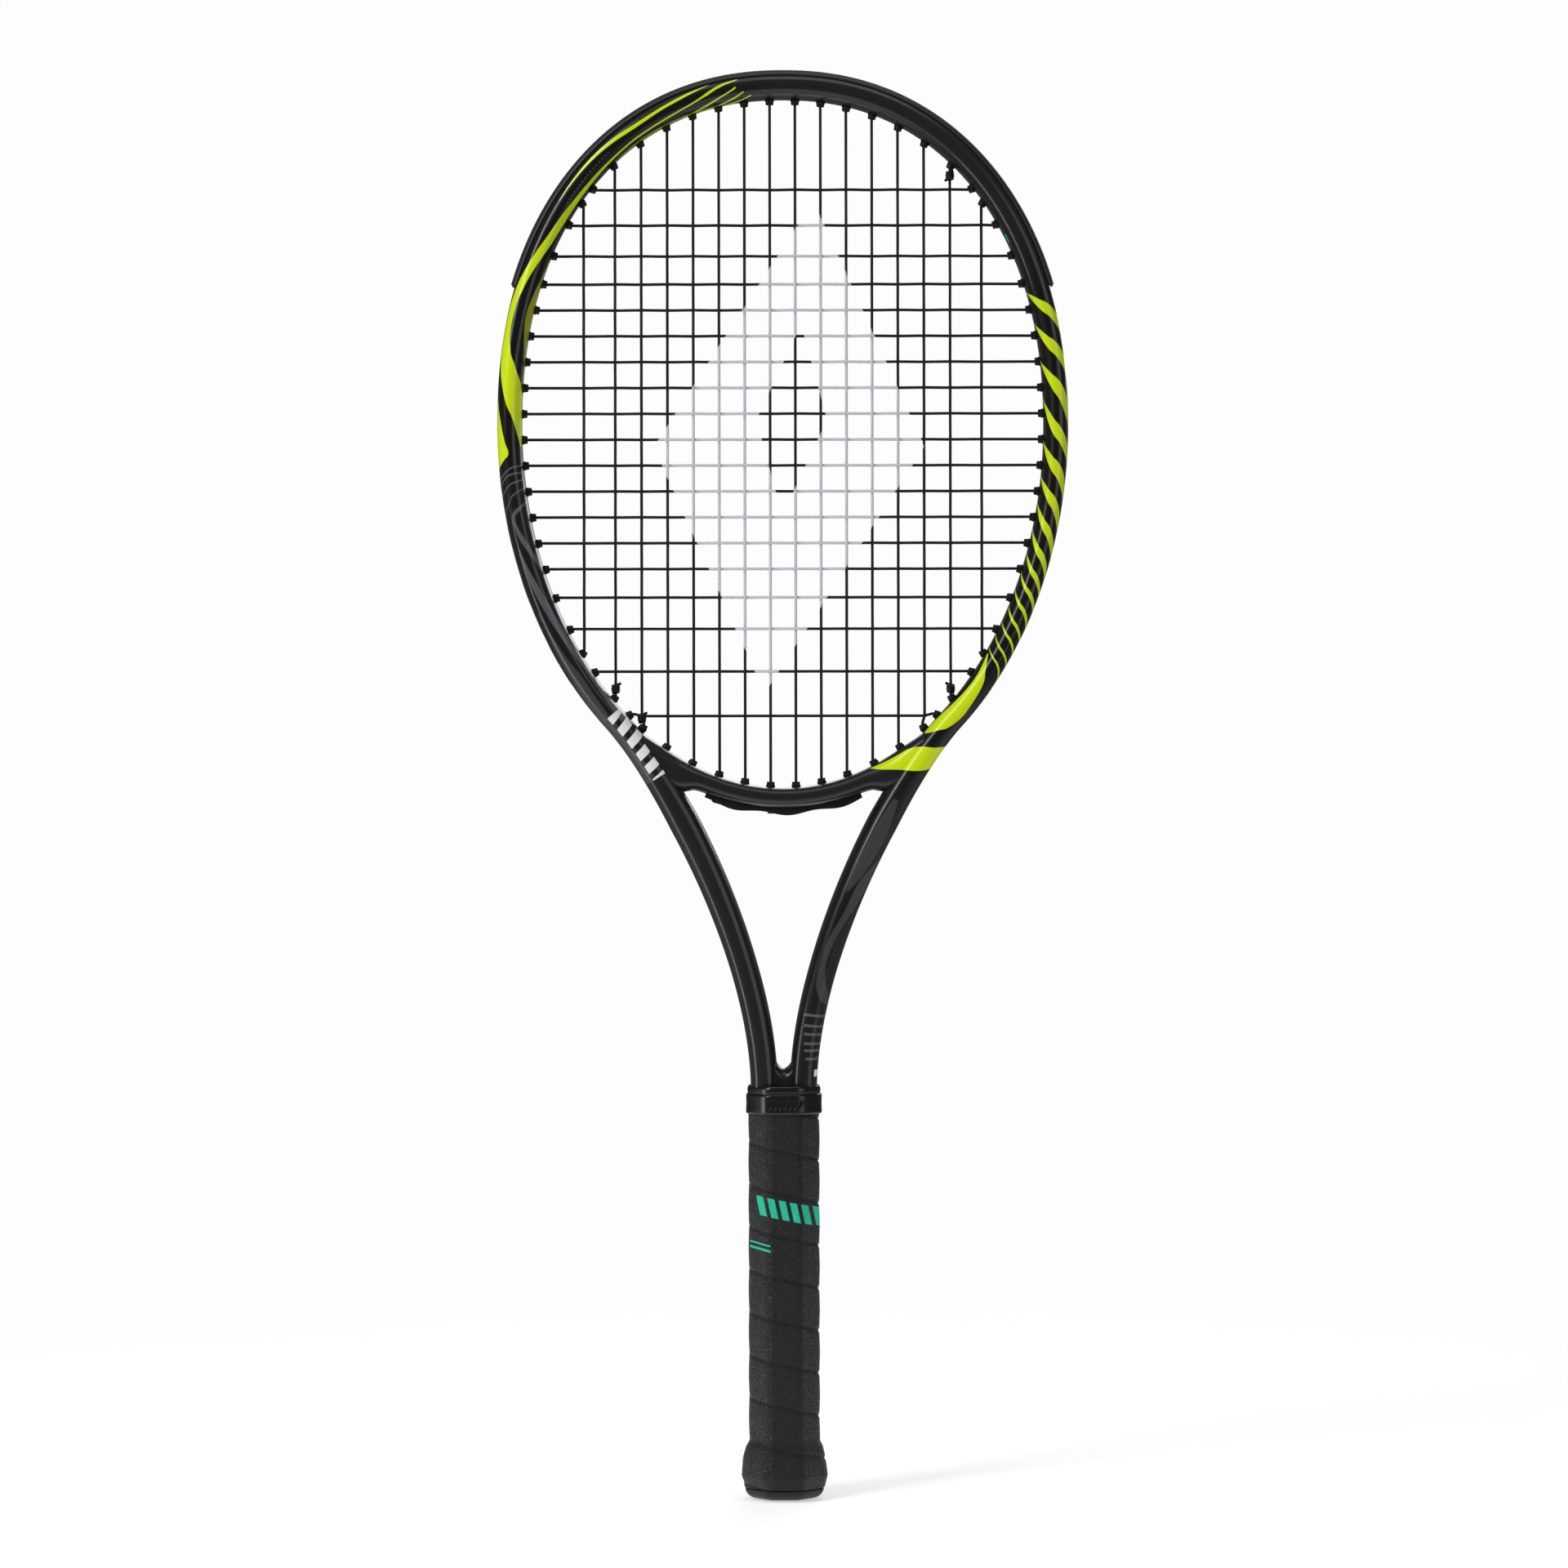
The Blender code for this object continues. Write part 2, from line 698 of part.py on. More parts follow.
def main_run(number):
    """Weave points of a main, from its low end to its top; mains are numbered from the left."""
    i = MAINS_EACH_SIDE - 1 - number if number < MAINS_EACH_SIDE else number - MAINS_EACH_SIDE
    side = -1 if number < MAINS_EACH_SIDE else 1
    points = []
    for j in reversed(range(len(cross_z))):
        if crosses_main(i, j):
            points.append((side * main_x[i], WEAVE * (-1) ** (number + j), cross_z[j]))
    return i, side, points


main_path = []
for number in range(2 * MAINS_EACH_SIDE):
    i, side, points = main_run(number)
    going_up = number % 2 == 0
    if number == 0:
        main_path += [flat(low_holes[i][2], 0, side), flat(tip_of(low_holes[i]), 0, side)]
    main_path += points if going_up else points[::-1]
    if number == 2 * MAINS_EACH_SIDE - 1:
        main_path += [flat(tip_of(low_holes[i]), 0, side), flat(low_holes[i][2], 0, side)]
        continue
    next_i, next_side, _ = main_run(number + 1)
    holes = top_holes if going_up else low_holes
    if next_side == side:
        main_path += loop(holes[i], holes[next_i], GROOVE_LANE, side)
    else:
        out = [flat(tip_of(holes[i]), 0, side), flat(holes[i][2], 0, side)]
        main_path += out + [(-x, y, z) for x, y, z in out[::-1]]
add("main_string", *tube(main_path, STRING_RADIUS), string_black)

cross_path = []
side = 1
for j, hole in enumerate(cross_holes):
    near = [flat(hole[2], 0, side), flat(tip_of(hole), 0, side)] if j == 0 else []
    kinked = (tip_of(hole)[0] - KINK, cross_z[j])
    cross_path += near + [flat(kinked, 0, side), flat(kinked, 0, -side)]
    side = -side
    if j + 1 < len(cross_holes):
        cross_path += loop(hole, cross_holes[j + 1], -GROOVE_LANE, side)
    else:
        cross_path += [flat(tip_of(hole), 0, side), flat(hole[2], 0, side)]
add("cross_string", *tube(cross_path, STRING_RADIUS), string_black)

# Pallet: two foam half shells round the shafts.
def pallet_half(side):
    half_y = PALLET_HALF_X - SHALLOWER_BY
    cut = CORNER_CUT * GRIP_HALF_X - (GRIP_THICKNESS + GAP) * (2 - math.sqrt(2))
    split = GAP / 2
    outer = [(PALLET_HALF_X, split), (PALLET_HALF_X, half_y - cut), (PALLET_HALF_X - cut, half_y)]
    inner = [(POCKET_HALF_X, split), (POCKET_HALF_X, POCKET_CORNER - POCKET_HALF_X)]
    inner.append((POCKET_CORNER - POCKET_HALF_Y, POCKET_HALF_Y))
    ring = outer + [(-x, y) for x, y in outer[::-1]] + [(-x, y) for x, y in inner]
    ring += inner[::-1]
    return loft([[(x, side * y, z) for x, y in ring] for z in (PALLET_BOTTOM_Z, PALLET_TOP_Z)])


pallet_front = add("pallet_front", *pallet_half(-1), foam)
pallet_back = add("pallet_back", *pallet_half(1), foam)


# Butt cap: a moulded cup stapled to the pallet, with a trapdoor in its floor.
def seat_half_x(z):
    return np.interp(z, SEAT_Z, SEAT_HALF_X)


cap_rings = [handle_ring(CAP_FLAT_HALF_X, 0.0), handle_ring(14.6, 0.7), handle_ring(17.6, 2.8)]
cap_rings += [handle_ring(18.7, 4.6), handle_ring(seat_half_x(6.0) - SEAT_RELIEF, 5.0)]
for z in (11.4, 19.0, CAP_TOP_Z):
    cap_rings.append(handle_ring(seat_half_x(z) - SEAT_RELIEF, z))
for half_x, z in ((PALLET_HALF_X + GAP, CAP_TOP_Z), (PALLET_HALF_X + GAP, 9.5), (12.2, 9.5)):
    cap_rings.append(handle_ring(half_x, z))
cap_rings.append(handle_ring(12.2, CAP_FLOOR_Z))
cap = add("butt_cap", *loft(cap_rings), cap_black)
opening = block((-DOOR_HALF_X - 0.4, DOOR_FREE_Y - 0.4, -1), (DOOR_HALF_X + 0.4, 6.9, 5))
boolean(cap, helper("door_opening", *opening), "DIFFERENCE")
sockets = bar_x(HINGE_Y, HINGE_Z, PIN_RADIUS + GAP, PIN_HALF_LENGTH + GAP)
boolean(cap, helper("pin_sockets", *sockets), "DIFFERENCE")

leaf_low = (-DOOR_HALF_X, DOOR_FREE_Y - HINGE_Y, DOOR_BOTTOM_Z - HINGE_Z)
leaf_high = (DOOR_HALF_X, 0.2, DOOR_BOTTOM_Z + DOOR_THICKNESS - HINGE_Z)
door = add("butt_cap_door", *block(leaf_low, leaf_high), cap_black)
door.location = (0, HINGE_Y * MM, HINGE_Z * MM)
pin = helper("hinge_pin", *bar_x(HINGE_Y, HINGE_Z, PIN_RADIUS, PIN_HALF_LENGTH))
boolean(door, pin, "UNION")


# Staples: two steel wires through the cap's wall into the pallet, one in front and one behind.
def staple(side, grow, length):
    crown_y = seat_half_x(STAPLE_Z) - SHALLOWER_BY - SEAT_RELIEF - 0.2
    low = crown_y - 0.5 - grow
    crown = block(
        (-STAPLE_HALF_WIDTH - grow, low, STAPLE_Z - 0.5 - grow),
        (STAPLE_HALF_WIDTH + grow, crown_y + 4 * grow, STAPLE_Z + 0.5 + grow),
    )
    legs = []
    for x in (-STAPLE_HALF_WIDTH, STAPLE_HALF_WIDTH - 1.0):
        start = (x - grow, crown_y - length - grow, STAPLE_Z - 0.5 - grow)
        legs.append(block(start, (x + 1.0 + grow, low + 0.25, STAPLE_Z + 0.5 + grow)))
    shapes = [crown] + legs
    return [([(x, side * y, z) for x, y, z in points], faces) for points, faces in shapes]


for name, side, half_shell in (("front", -1, pallet_front), ("back", 1, pallet_back)):
    crown, *legs = staple(side, 0.0, STAPLE_LENGTH)
    wire = add(f"staple_{name}", *crown, steel)
    boolean(wire, helper(f"staple_legs_{name}", *joined(legs)), "UNION")
    crown, *legs = staple(side, 0.3, STAPLE_LENGTH)
    crown_slot = helper(f"crown_slot_{name}", *crown)
    leg_slots = helper(f"leg_slots_{name}", *joined(legs))
    boolean(cap, crown_slot, "DIFFERENCE")
    boolean(cap, leg_slots, "DIFFERENCE")
    boolean(half_shell, leg_slots, "DIFFERENCE")
shade(cap)


# Grip: a flat band wound up the handle, its ends trimmed level.
def grip_inner(z):
    return PALLET_HALF_X + GAP if z > SEAT_Z[-1] else float(seat_half_x(z))


def grip_corner(half_x, number, z):
    return handle_ring(half_x, z)[number % 8]


grip_rings = []
turns = (GRIP_TOP_Z - GRIP_BOTTOM_Z) / GRIP_PITCH + 1
for step in range(int(turns * 8) + 1):
    centre = GRIP_BOTTOM_Z - GRIP_STRIP / 2 + GRIP_PITCH * step / 8
    low = max(centre - GRIP_STRIP / 2, GRIP_BOTTOM_Z)
    high = min(centre + GRIP_STRIP / 2, GRIP_TOP_Z)
    if high - low < 1.0:
        continue
    levels = [low + (high - low) * i / GRIP_LEVELS for i in range(GRIP_LEVELS + 1)]
    ring = [grip_corner(grip_inner(z), -step, z) for z in levels]
    outer = [grip_corner(grip_inner(z) + GRIP_THICKNESS, -step, z) for z in levels]
    grip_rings.append(ring + outer[::-1])
add("grip", *loft(grip_rings), grip_black)


# Finishing tape and rubber collar: two rings round the neck.
def ring_shape(outline):
    """A closed ring whose wall follows (half width, height) pairs."""
    rings = [handle_ring(half_x, z) for half_x, z in outline]
    points = [point for ring in rings for point in ring]
    faces = []
    for i in range(len(rings)):
        for j in range(8):
            k = (j + 1) % 8
            low, high = i * 8, (i + 1) % len(rings) * 8
            faces.append((low + j, low + k, high + k, high + j))
    return points, faces


outer = TAPE_HALF_X + 0.4
band = [(TAPE_HALF_X, TAPE_BOTTOM_Z), (outer, TAPE_BOTTOM_Z)]
band += [(outer, TAPE_TOP_Z), (TAPE_HALF_X, TAPE_TOP_Z)]
add("finishing_tape", *ring_shape(band), tape)

wall = [(17.35, 185.0), (17.9, 185.0), (18.25, 185.6), (18.15, 189.5), (18.2, 193.4)]
wall += [(17.95, 194.1), (17.4, 194.4), (17.55, 195.3), (17.5, 197.2), (17.1, 198.2)]
wall += [(16.4, 198.2), (16.4, 195.2), (16.95, 194.9), (16.95, 188.6), (17.35, 188.4)]
shade(add("rubber_collar", *ring_shape(wall), rubber))
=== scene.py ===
import math

import bmesh
import bpy
import numpy as np
from mathutils import Matrix, Vector


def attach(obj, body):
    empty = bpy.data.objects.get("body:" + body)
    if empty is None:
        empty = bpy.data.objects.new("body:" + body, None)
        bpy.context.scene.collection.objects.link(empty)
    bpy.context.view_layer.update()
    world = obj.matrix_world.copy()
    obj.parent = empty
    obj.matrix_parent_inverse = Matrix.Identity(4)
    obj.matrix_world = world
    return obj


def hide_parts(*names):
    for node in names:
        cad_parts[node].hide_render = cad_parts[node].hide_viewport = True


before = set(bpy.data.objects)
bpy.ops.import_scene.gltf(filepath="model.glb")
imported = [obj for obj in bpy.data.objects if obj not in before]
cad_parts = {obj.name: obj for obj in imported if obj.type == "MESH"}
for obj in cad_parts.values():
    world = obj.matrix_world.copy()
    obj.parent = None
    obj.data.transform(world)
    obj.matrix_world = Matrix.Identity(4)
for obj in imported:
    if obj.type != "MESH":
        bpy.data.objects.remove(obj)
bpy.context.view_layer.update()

# Hairpin frame: one carbon-fibre tube bent into the hoop, the two arms and the shafts in the handle.
# It is laid up in a mould and comes out with a groove round the outside of the hoop.
# Then it is painted in black, acid yellow and grey ribbons, under a clear lacquer.
MM = 0.001
GAP = 0.3
HEAD_CENTRE_Z = 515.4
HEAD_HALF_WIDTH = 125.3
HEAD_RISE = 156.6
HEAD_DROP = 174.1
HEAD_POWER_UP = 2.2
HEAD_POWER_DOWN = 1.99
TUBE_HALF_WIDTH = 5.95
SECTION_POWER = 2.5
ARM_LEAVES_AT = math.radians(-52.1)
ARM_HANDLE_TOP = 44.4
ARM_HANDLE_BOTTOM = 61.8
NECK_X, NECK_Z = 9.5, 196.0
SHAFT_X, SHAFT_TOP_Z, SHAFT_END_Z = 5.8, 176.0, 30.0
WIDTH_Z = (SHAFT_TOP_Z, 198.0, 255.0, 325.0, 374.0, 420.0)
WIDTHS = (5.4, 6.6, 6.75, 7.45, TUBE_HALF_WIDTH, TUBE_HALF_WIDTH)
DEPTH_Z = (SHAFT_TOP_Z, 198.0, 300.0, 400.0, 520.0, 680.0)
DEPTHS = (8.5, 11.2, 11.8, 12.6, 12.6, 11.4)
GROOVE_HALF_WIDTH = 4.0
GROOVE_FLOOR_HALF_WIDTH = 3.5
GROOVE_DEPTH = 2.6
GROOVE_ENDS_Z = (314.0, 327.0)
SIDE_POINTS = 17
TUBE_STEP = 3.0


def power(value, exponent):
    return math.copysign(abs(value) ** (2 / exponent), value)


def inner_line(angle):
    """Point and outward direction on the inner line of the head."""
    up = math.sin(angle) > 0
    rise = HEAD_RISE if up else HEAD_DROP
    bend = HEAD_POWER_UP if up else HEAD_POWER_DOWN
    x = HEAD_HALF_WIDTH * power(math.cos(angle), bend)
    z = rise * power(math.sin(angle), bend)
    across = math.copysign(abs(x / HEAD_HALF_WIDTH) ** (bend - 1), x) / HEAD_HALF_WIDTH
    along = math.copysign(abs(z / rise) ** (bend - 1), z) / rise
    size = math.hypot(across, along)
    return np.array((x, HEAD_CENTRE_Z + z)), np.array((across, along)) / size


def ease(value):
    value = min(max(value, 0.0), 1.0)
    return value * value * (3 - 2 * value)


def right_half():
    """Centre line of the right half of the hairpin, from the top down to the end of the shaft."""
    line = []
    for angle in np.linspace(math.pi / 2, ARM_LEAVES_AT, 400):
        inner, outward = inner_line(angle)
        line.append(inner + TUBE_HALF_WIDTH * outward)
    start, down = line[-1], np.array((outward[1], -outward[0]))
    end = np.array((NECK_X, NECK_Z))
    second = start + ARM_HANDLE_TOP * down
    third = end + np.array((0.0, ARM_HANDLE_BOTTOM))
    for u in np.linspace(0, 1, 200)[1:]:
        a, b, c, d = (1 - u) ** 3, 3 * u * (1 - u) ** 2, 3 * u * u * (1 - u), u**3
        line.append(a * start + b * second + c * third + d * end)
    for z in np.arange(NECK_Z - 1, SHAFT_END_Z - 0.5, -1.0):
        share = ease((NECK_Z - z) / (NECK_Z - SHAFT_TOP_Z))
        line.append(np.array((NECK_X + (SHAFT_X - NECK_X) * share, z)))
    return np.array(line)


half_line = right_half()
tube_line = np.concatenate([half_line[:0:-1] * np.array((-1.0, 1.0)), half_line])
tube_along = np.gradient(tube_line, axis=0)
tube_along /= np.hypot(*tube_along.T)[:, None]
tube_out = np.stack([-tube_along[:, 1], tube_along[:, 0]], axis=1)
tube_gone = np.concatenate([[0], np.cumsum(np.hypot(*np.diff(tube_line, axis=0).T))])
tube_gone -= tube_gone[-1] / 2
TUBE_HALF_LENGTH = tube_gone[-1]


def on_tube(gone):
    """Point and outward direction at a distance along the tube, which is 0 at the tip of the head."""
    point = np.array([np.interp(gone, tube_gone, tube_line[:, i]) for i in (0, 1)])
    outward = np.array([np.interp(gone, tube_gone, tube_out[:, i]) for i in (0, 1)])
    return point, outward / np.hypot(*outward)


def gone_at(height):
    """Distance along the tube at which its right side passes a height."""
    half = len(tube_line) // 2
    return float(np.interp(-height, -tube_line[half:, 1], tube_gone[half:]))


def tube_size(z):
    return float(np.interp(z, WIDTH_Z, WIDTHS)), float(np.interp(z, DEPTH_Z, DEPTHS))


def face_of(half_width, half_depth, depth):
    """How far out the tube's surface lies at a depth off the middle."""
    share = 1 - abs(depth / half_depth) ** SECTION_POWER
    return half_width * share ** (1 / SECTION_POWER)


def floor_level(z):
    """Height of the groove's floor over the tube's centre line."""
    low, high = GROOVE_ENDS_Z
    lip = face_of(*tube_size(z), GROOVE_HALF_WIDTH)
    return lip - GROOVE_DEPTH * ease((z - low) / (high - low))


def tube_section(z):
    """Ring of (out, depth, turn) round the tube; turn goes from 0 on the inside to 1 outside."""
    half_width, half_depth = tube_size(z)
    lip_turn = math.asin((GROOVE_HALF_WIDTH / half_depth) ** (SECTION_POWER / 2))
    side = []
    for turn in np.linspace(math.pi, lip_turn, SIDE_POINTS):
        out = half_width * power(math.cos(turn), SECTION_POWER)
        depth = half_depth * power(math.sin(turn), SECTION_POWER)
        side.append((out, depth, 1 - turn / math.pi))
    lip, floor = side[-1][0], floor_level(z)
    side.append((lip - 0.12 * (lip - floor), GROOVE_HALF_WIDTH - 0.2, 1.0))
    side.append((floor, GROOVE_FLOOR_HALF_WIDTH, 1.0))
    return side + [(out, -depth, turn) for out, depth, turn in side[:0:-1]]


def circle(count):
    """Evenly spaced angles, once round."""
    return np.linspace(0, 2 * math.pi, count + 1)[:-1]


def two_sided(side):
    """A whole section of (out, depth) pairs from its back half."""
    return side + [(out, -depth) for out, depth in side[::-1]]


def edges_round(ring):
    pairs = zip(ring, ring[1:] + ring[:1])
    return [next(e for e in a.link_edges if e.other_vert(a) is b) for a, b in pairs]


def first_ring(shape, places):
    """A closed ring of edges through places in millimetres."""
    ring = bmesh.ops.create_circle(shape, segments=len(places), radius=1.0)["verts"]
    for vert, place in zip(ring, places):
        vert.co = Vector(place) * MM
    return ring


def next_ring(shape, ring, places):
    """Extrudes a ring on to its next places."""
    made = bmesh.ops.extrude_edge_only(shape, edges=edges_round(ring))["geom"]
    fresh = {item for item in made if isinstance(item, bmesh.types.BMVert)}
    ring = [next(e.other_vert(v) for e in v.link_edges if e.other_vert(v) in fresh) for v in ring]
    for vert, place in zip(ring, places):
        vert.co = Vector(place) * MM
    return ring


def draw_through(shape, rings, ends="capped"):
    """A skin drawn through rings of places: its ends are capped, or joined to each other."""
    made = [first_ring(shape, rings[0])]
    for places in rings[1:]:
        made.append(next_ring(shape, made[-1], places))
    if ends == "capped":
        for ring in (made[0], made[-1]):
            bmesh.ops.contextual_create(shape, geom=edges_round(ring))
    if ends == "joined":
        both = edges_round(made[0]) + edges_round(made[-1])
        bmesh.ops.bridge_loops(shape, edges=both)
    return made


def piece(name, shape, finish, body="racket", stands_for=(), sharp=40):
    """Turns a finished shape into an object that rides on a body and stands for CAD nodes."""
    bmesh.ops.recalc_face_normals(shape, faces=shape.faces)
    mesh = bpy.data.meshes.new(name)
    shape.to_mesh(mesh)
    shape.free()
    mesh.shade_smooth()
    mesh.set_sharp_from_angle(angle=math.radians(sharp))
    made = bpy.data.objects.new(name, mesh)
    bpy.context.scene.collection.objects.link(made)
    mesh.materials.append(finish.material)
    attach(made, body)
    if stands_for:
        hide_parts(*stands_for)


def bevelled(shape, edges, width, segments):
    """Rounds edges over by a width in millimetres."""
    how = {"affect": "EDGES", "profile": 0.5, "material": -1}
    bmesh.ops.bevel(shape, geom=list(edges), offset=width * MM, segments=segments, **how)


def in_plane(point, outward, section):
    """A section's (out, depth) pairs set up at a point of the string plane."""
    return [(point[0] + s[0] * outward[0], s[1], point[1] + s[0] * outward[1]) for s in section]


class Signal:
    """A shader socket that ordinary sums work on: each one adds a Math node."""

    def __init__(self, finish, socket):
        self.finish, self.socket = finish, socket

    def sum(self, operation, first, second=0.0):
        return self.finish.node("ShaderNodeMath", {"operation": operation}, {0: first, 1: second})

    def __add__(self, other):
        return self.sum("ADD", self, other)

    def __sub__(self, other):
        return self.sum("SUBTRACT", self, other)

    def __rsub__(self, other):
        return self.sum("SUBTRACT", other, self)

    def __mul__(self, other):
        return self.sum("MULTIPLY", self, other)

    def __truediv__(self, other):
        return self.sum("DIVIDE", self, other)

    def __abs__(self):
        return self.sum("ABSOLUTE", self)

    __radd__, __rmul__ = __add__, __mul__

    def round(self):
        return self.sum("ROUND", self)

    def off_whole(self):
        """How far this is from the nearest whole number."""
        return abs(self - self.round())

    def lower(self, other):
        return self.sum("MINIMUM", self, other)

    def clipped(self):
        return self.finish.node("ShaderNodeClamp", {}, {"Value": self})

    def under(self, limit, softness):
        """1 where this is under a limit, over an edge of that softness."""
        return ((limit - self) / softness).clipped()

    def over(self, limit, softness):
        return ((self - limit) / softness).clipped()

    def between(self, low, high, softness):
        return self.over(low, softness) * self.under(high, softness)

    def curve(self, points):
        """A smooth curve through (input, output) points; outputs lie in 0 to 1."""
        low, high = points[0][0], points[-1][0]
        share = (self - low) / (high - low)
        points = [((x - low) / (high - low), y) for x, y in points]
        return self.finish.node("ShaderNodeFloatCurve", {"points": points}, {"Value": share})


class Finish:
    """A material: its nodes, and the fixed settings of its shader."""

    def __init__(self, name, **settings):
        self.material = bpy.data.materials.new(name)
        self.material.use_nodes = True
        self.tree = self.material.node_tree
        self.shader = self.tree.nodes["Principled BSDF"]
        for key, value in settings.items():
            self.shader.inputs[key.replace("_", " ")].default_value = value

    def node(self, kind, settings, inputs, output=0):
        made = self.tree.nodes.new(kind)
        for key, value in settings.items():
            if key == "points":
                curve = made.mapping.curves[0]
                for _ in value[2:]:
                    curve.points.new(0.5, 0.5)
                for point, place in zip(curve.points, value):
                    point.location = place
                made.mapping.update()
            elif key == "stops":
                for _ in value[2:]:
                    made.color_ramp.elements.new(0.5)
                for stop, (place, colour) in zip(made.color_ramp.elements, value):
                    stop.position, stop.color = place, colour
            else:
                setattr(made, key, value)
        for key, value in inputs.items():
            self.feed(made.inputs[key], value)
        return Signal(self, made.outputs[output])

    def feed(self, socket, value):
        if isinstance(value, Signal):
            self.tree.links.new(value.socket, socket)
        else:
            socket.default_value = value

    def give(self, name, value):
        self.feed(self.shader.inputs[name], value)

    def attribute(self, name):
        return self.node("ShaderNodeAttribute", {"attribute_name": name}, {}, "Fac")

    def place(self):
        """Place on the object, in metres, and its X, Y and Z in millimetres."""
        spot = self.node("ShaderNodeTexCoord", {}, {}, "Object")
        parts = [self.node("ShaderNodeSeparateXYZ", {}, {0: spot}, axis) for axis in "XYZ"]
        return spot, *[part * 1000.0 for part in parts]

    def noise(self, spot, scale, detail=2.0, roughness=0.5):
        inputs = {"Vector": spot, "Scale": scale, "Detail": detail, "Roughness": roughness}
        return self.node("ShaderNodeTexNoise", {}, inputs, "Fac")

    def stretched(self, spot, scale):
        return self.node("ShaderNodeMapping", {}, {"Vector": spot, "Scale": scale})

    def mix(self, first, second, share):
        inputs = {0: share, 6: first, 7: second}
        return self.node("ShaderNodeMix", {"data_type": "RGBA"}, inputs, 2)

    def bump(self, height, strength, distance):
        inputs = {"Strength": strength, "Distance": distance, "Height": height}
        self.give("Normal", self.node("ShaderNodeBump", {}, inputs))


def tone(red, green, blue):
    """A colour as a shader wants it, from 0 to 255 parts of each light."""
    parts = []
    for part in (red, green, blue):
        part /= 255
        parts.append(part / 12.92 if part <= 0.04045 else ((part + 0.055) / 1.055) ** 2.4)
    return (*parts, 1.0)


YELLOW = tone(228, 252, 8)
# The olive below is the acid yellow with painted shade: a darker yellow for where it faces away from the
# light.
SHADED_YELLOW = tone(164, 172, 14)
BLACK = tone(12, 10, 13)
SOOT = tone(22, 21, 24)
CHARCOAL = tone(32, 31, 34)
GREY = tone(96, 94, 100)
DIM_GREY = tone(66, 66, 69)
WHITE = tone(254, 254, 255)
TEAL = tone(22, 208, 166)

# Ground colours of the paint by distance along the tube.
GROUND = [
    (-750, CHARCOAL), (-420, CHARCOAL), (-395, SOOT), (-270, SOOT), (-250, BLACK), (-40, BLACK),
    (0, CHARCOAL), (140, CHARCOAL), (175, BLACK), (400, BLACK), (430, SOOT), (500, SOOT), (750, CHARCOAL),
]
# Ribbons of paint as (distance along the tube, turn where it starts, turn where it ends).
WIDE_RIBBON = [
    (-246.5, 0.15, 0.17), (-236.2, 0.03, 0.36), (-226.8, 0.02, 0.53), (-217.4, 0.15, 0.67),
    (-208.1, 0.406, 0.8), (-198.7, 0.553, 0.87), (-189.3, 0.61, 0.87), (-179.9, 0.6, 0.82),
    (-170.5, 0.534, 0.747), (-161.1, 0.468, 0.63), (-151.8, 0.36, 0.53), (-142.4, 0.255, 0.46),
    (-129.5, 0.19, 0.385), (-116.6, 0.17, 0.315), (-103.6, 0.18, 0.28), (-90.6, 0.2, 0.265),
    (-77.7, 0.229, 0.28), (-64.7, 0.243, 0.294), (-51.7, 0.307, 0.348), (-38.8, 0.434, 0.476),
    (-25.8, 0.598, 0.65), (-21.0, 0.66, 0.69),
]
HIGH_RIBBON = [
    (-125.3, 0.59, 0.6), (-112.3, 0.575, 0.62), (-99.4, 0.55, 0.62), (-86.4, 0.51, 0.585),
    (-73.4, 0.48, 0.545), (-60.4, 0.505, 0.56), (-47.5, 0.554, 0.615), (-34.5, 0.685, 0.69),
]
FINE_LINES = [
    [
        (-57.3, 0.0, 0.01), (-48.5, 0.0, 0.05), (-39.8, 0.121, 0.19), (-31.0, 0.307, 0.35),
        (-22.3, 0.48, 0.51),
    ],
    [(-42.1, 0.0, 0.01), (-34.3, 0.0, 0.05), (-26.5, 0.14, 0.2), (-18.7, 0.37, 0.4)],
    [(-30.2, 0.0, 0.01), (-25.2, 0.0, 0.05), (-20.1, 0.1, 0.15), (-15.1, 0.25, 0.28)],
]
OUTER_RIBBON = [
    (-257.0, 0.97, 1.0), (-255.3, 0.8, 1.0), (-252.2, 0.6, 1.0), (-250.0, 0.515, 1.0),
    (-244.4, 0.575, 1.0), (-238.9, 0.638, 1.0), (-233.4, 0.705, 1.0), (-227.8, 0.787, 1.0),
    (-220.0, 0.9, 1.0),
]
# The next two rows mark where the yellow ribbon on the inside of the tube is painted darker, in olive, as
# painted shade.
SHADED_YELLOW_RIBBON = [
    (-246.0, 0.0, 0.01), (-240.0, 0.0, 0.07), (-213.0, 0.0, 0.07), (-204.2, 0.0, 0.12),
    (-193.3, 0.0, 0.26), (-182.5, 0.0, 0.33), (-171.6, 0.0, 0.26), (-160.8, 0.0, 0.13),
    (-146.0, 0.0, 0.0),
]
SHADED_YELLOW_LINE = [(-96.0, 0.0, 0.0), (-84.0, 0.0, 0.09), (-50.0, 0.0, 0.08), (-28.0, 0.0, 0.01)]
HOOK = [
    (-311.0, 0.0, 0.12), (-300.2, 0.27, 0.41), (-292.6, 0.42, 0.52), (-286.1, 0.51, 0.59),
    (-280.7, 0.54, 0.62), (-277.4, 0.42, 0.54), (-274.1, 0.15, 0.28), (-272.6, 0.0, 0.05),
]
SMALL_HOOK = [
    (-293.0, 0.0, 0.02), (-290.5, 0.05, 0.14), (-286.1, 0.17, 0.26), (-281.8, 0.12, 0.22),
    (-278.5, 0.0, 0.04),
]
GREY_RIBBON = [
    (-392.0, 0.0, 0.41), (-383.0, 0.0, 0.376), (-371.6, 0.05, 0.33), (-360.3, 0.124, 0.324),
    (-348.9, 0.229, 0.4), (-337.5, 0.288, 0.468), (-326.1, 0.364, 0.515), (-314.8, 0.456, 0.576),
    (-303.4, 0.54, 0.62), (-295.0, 0.6, 0.62),
]
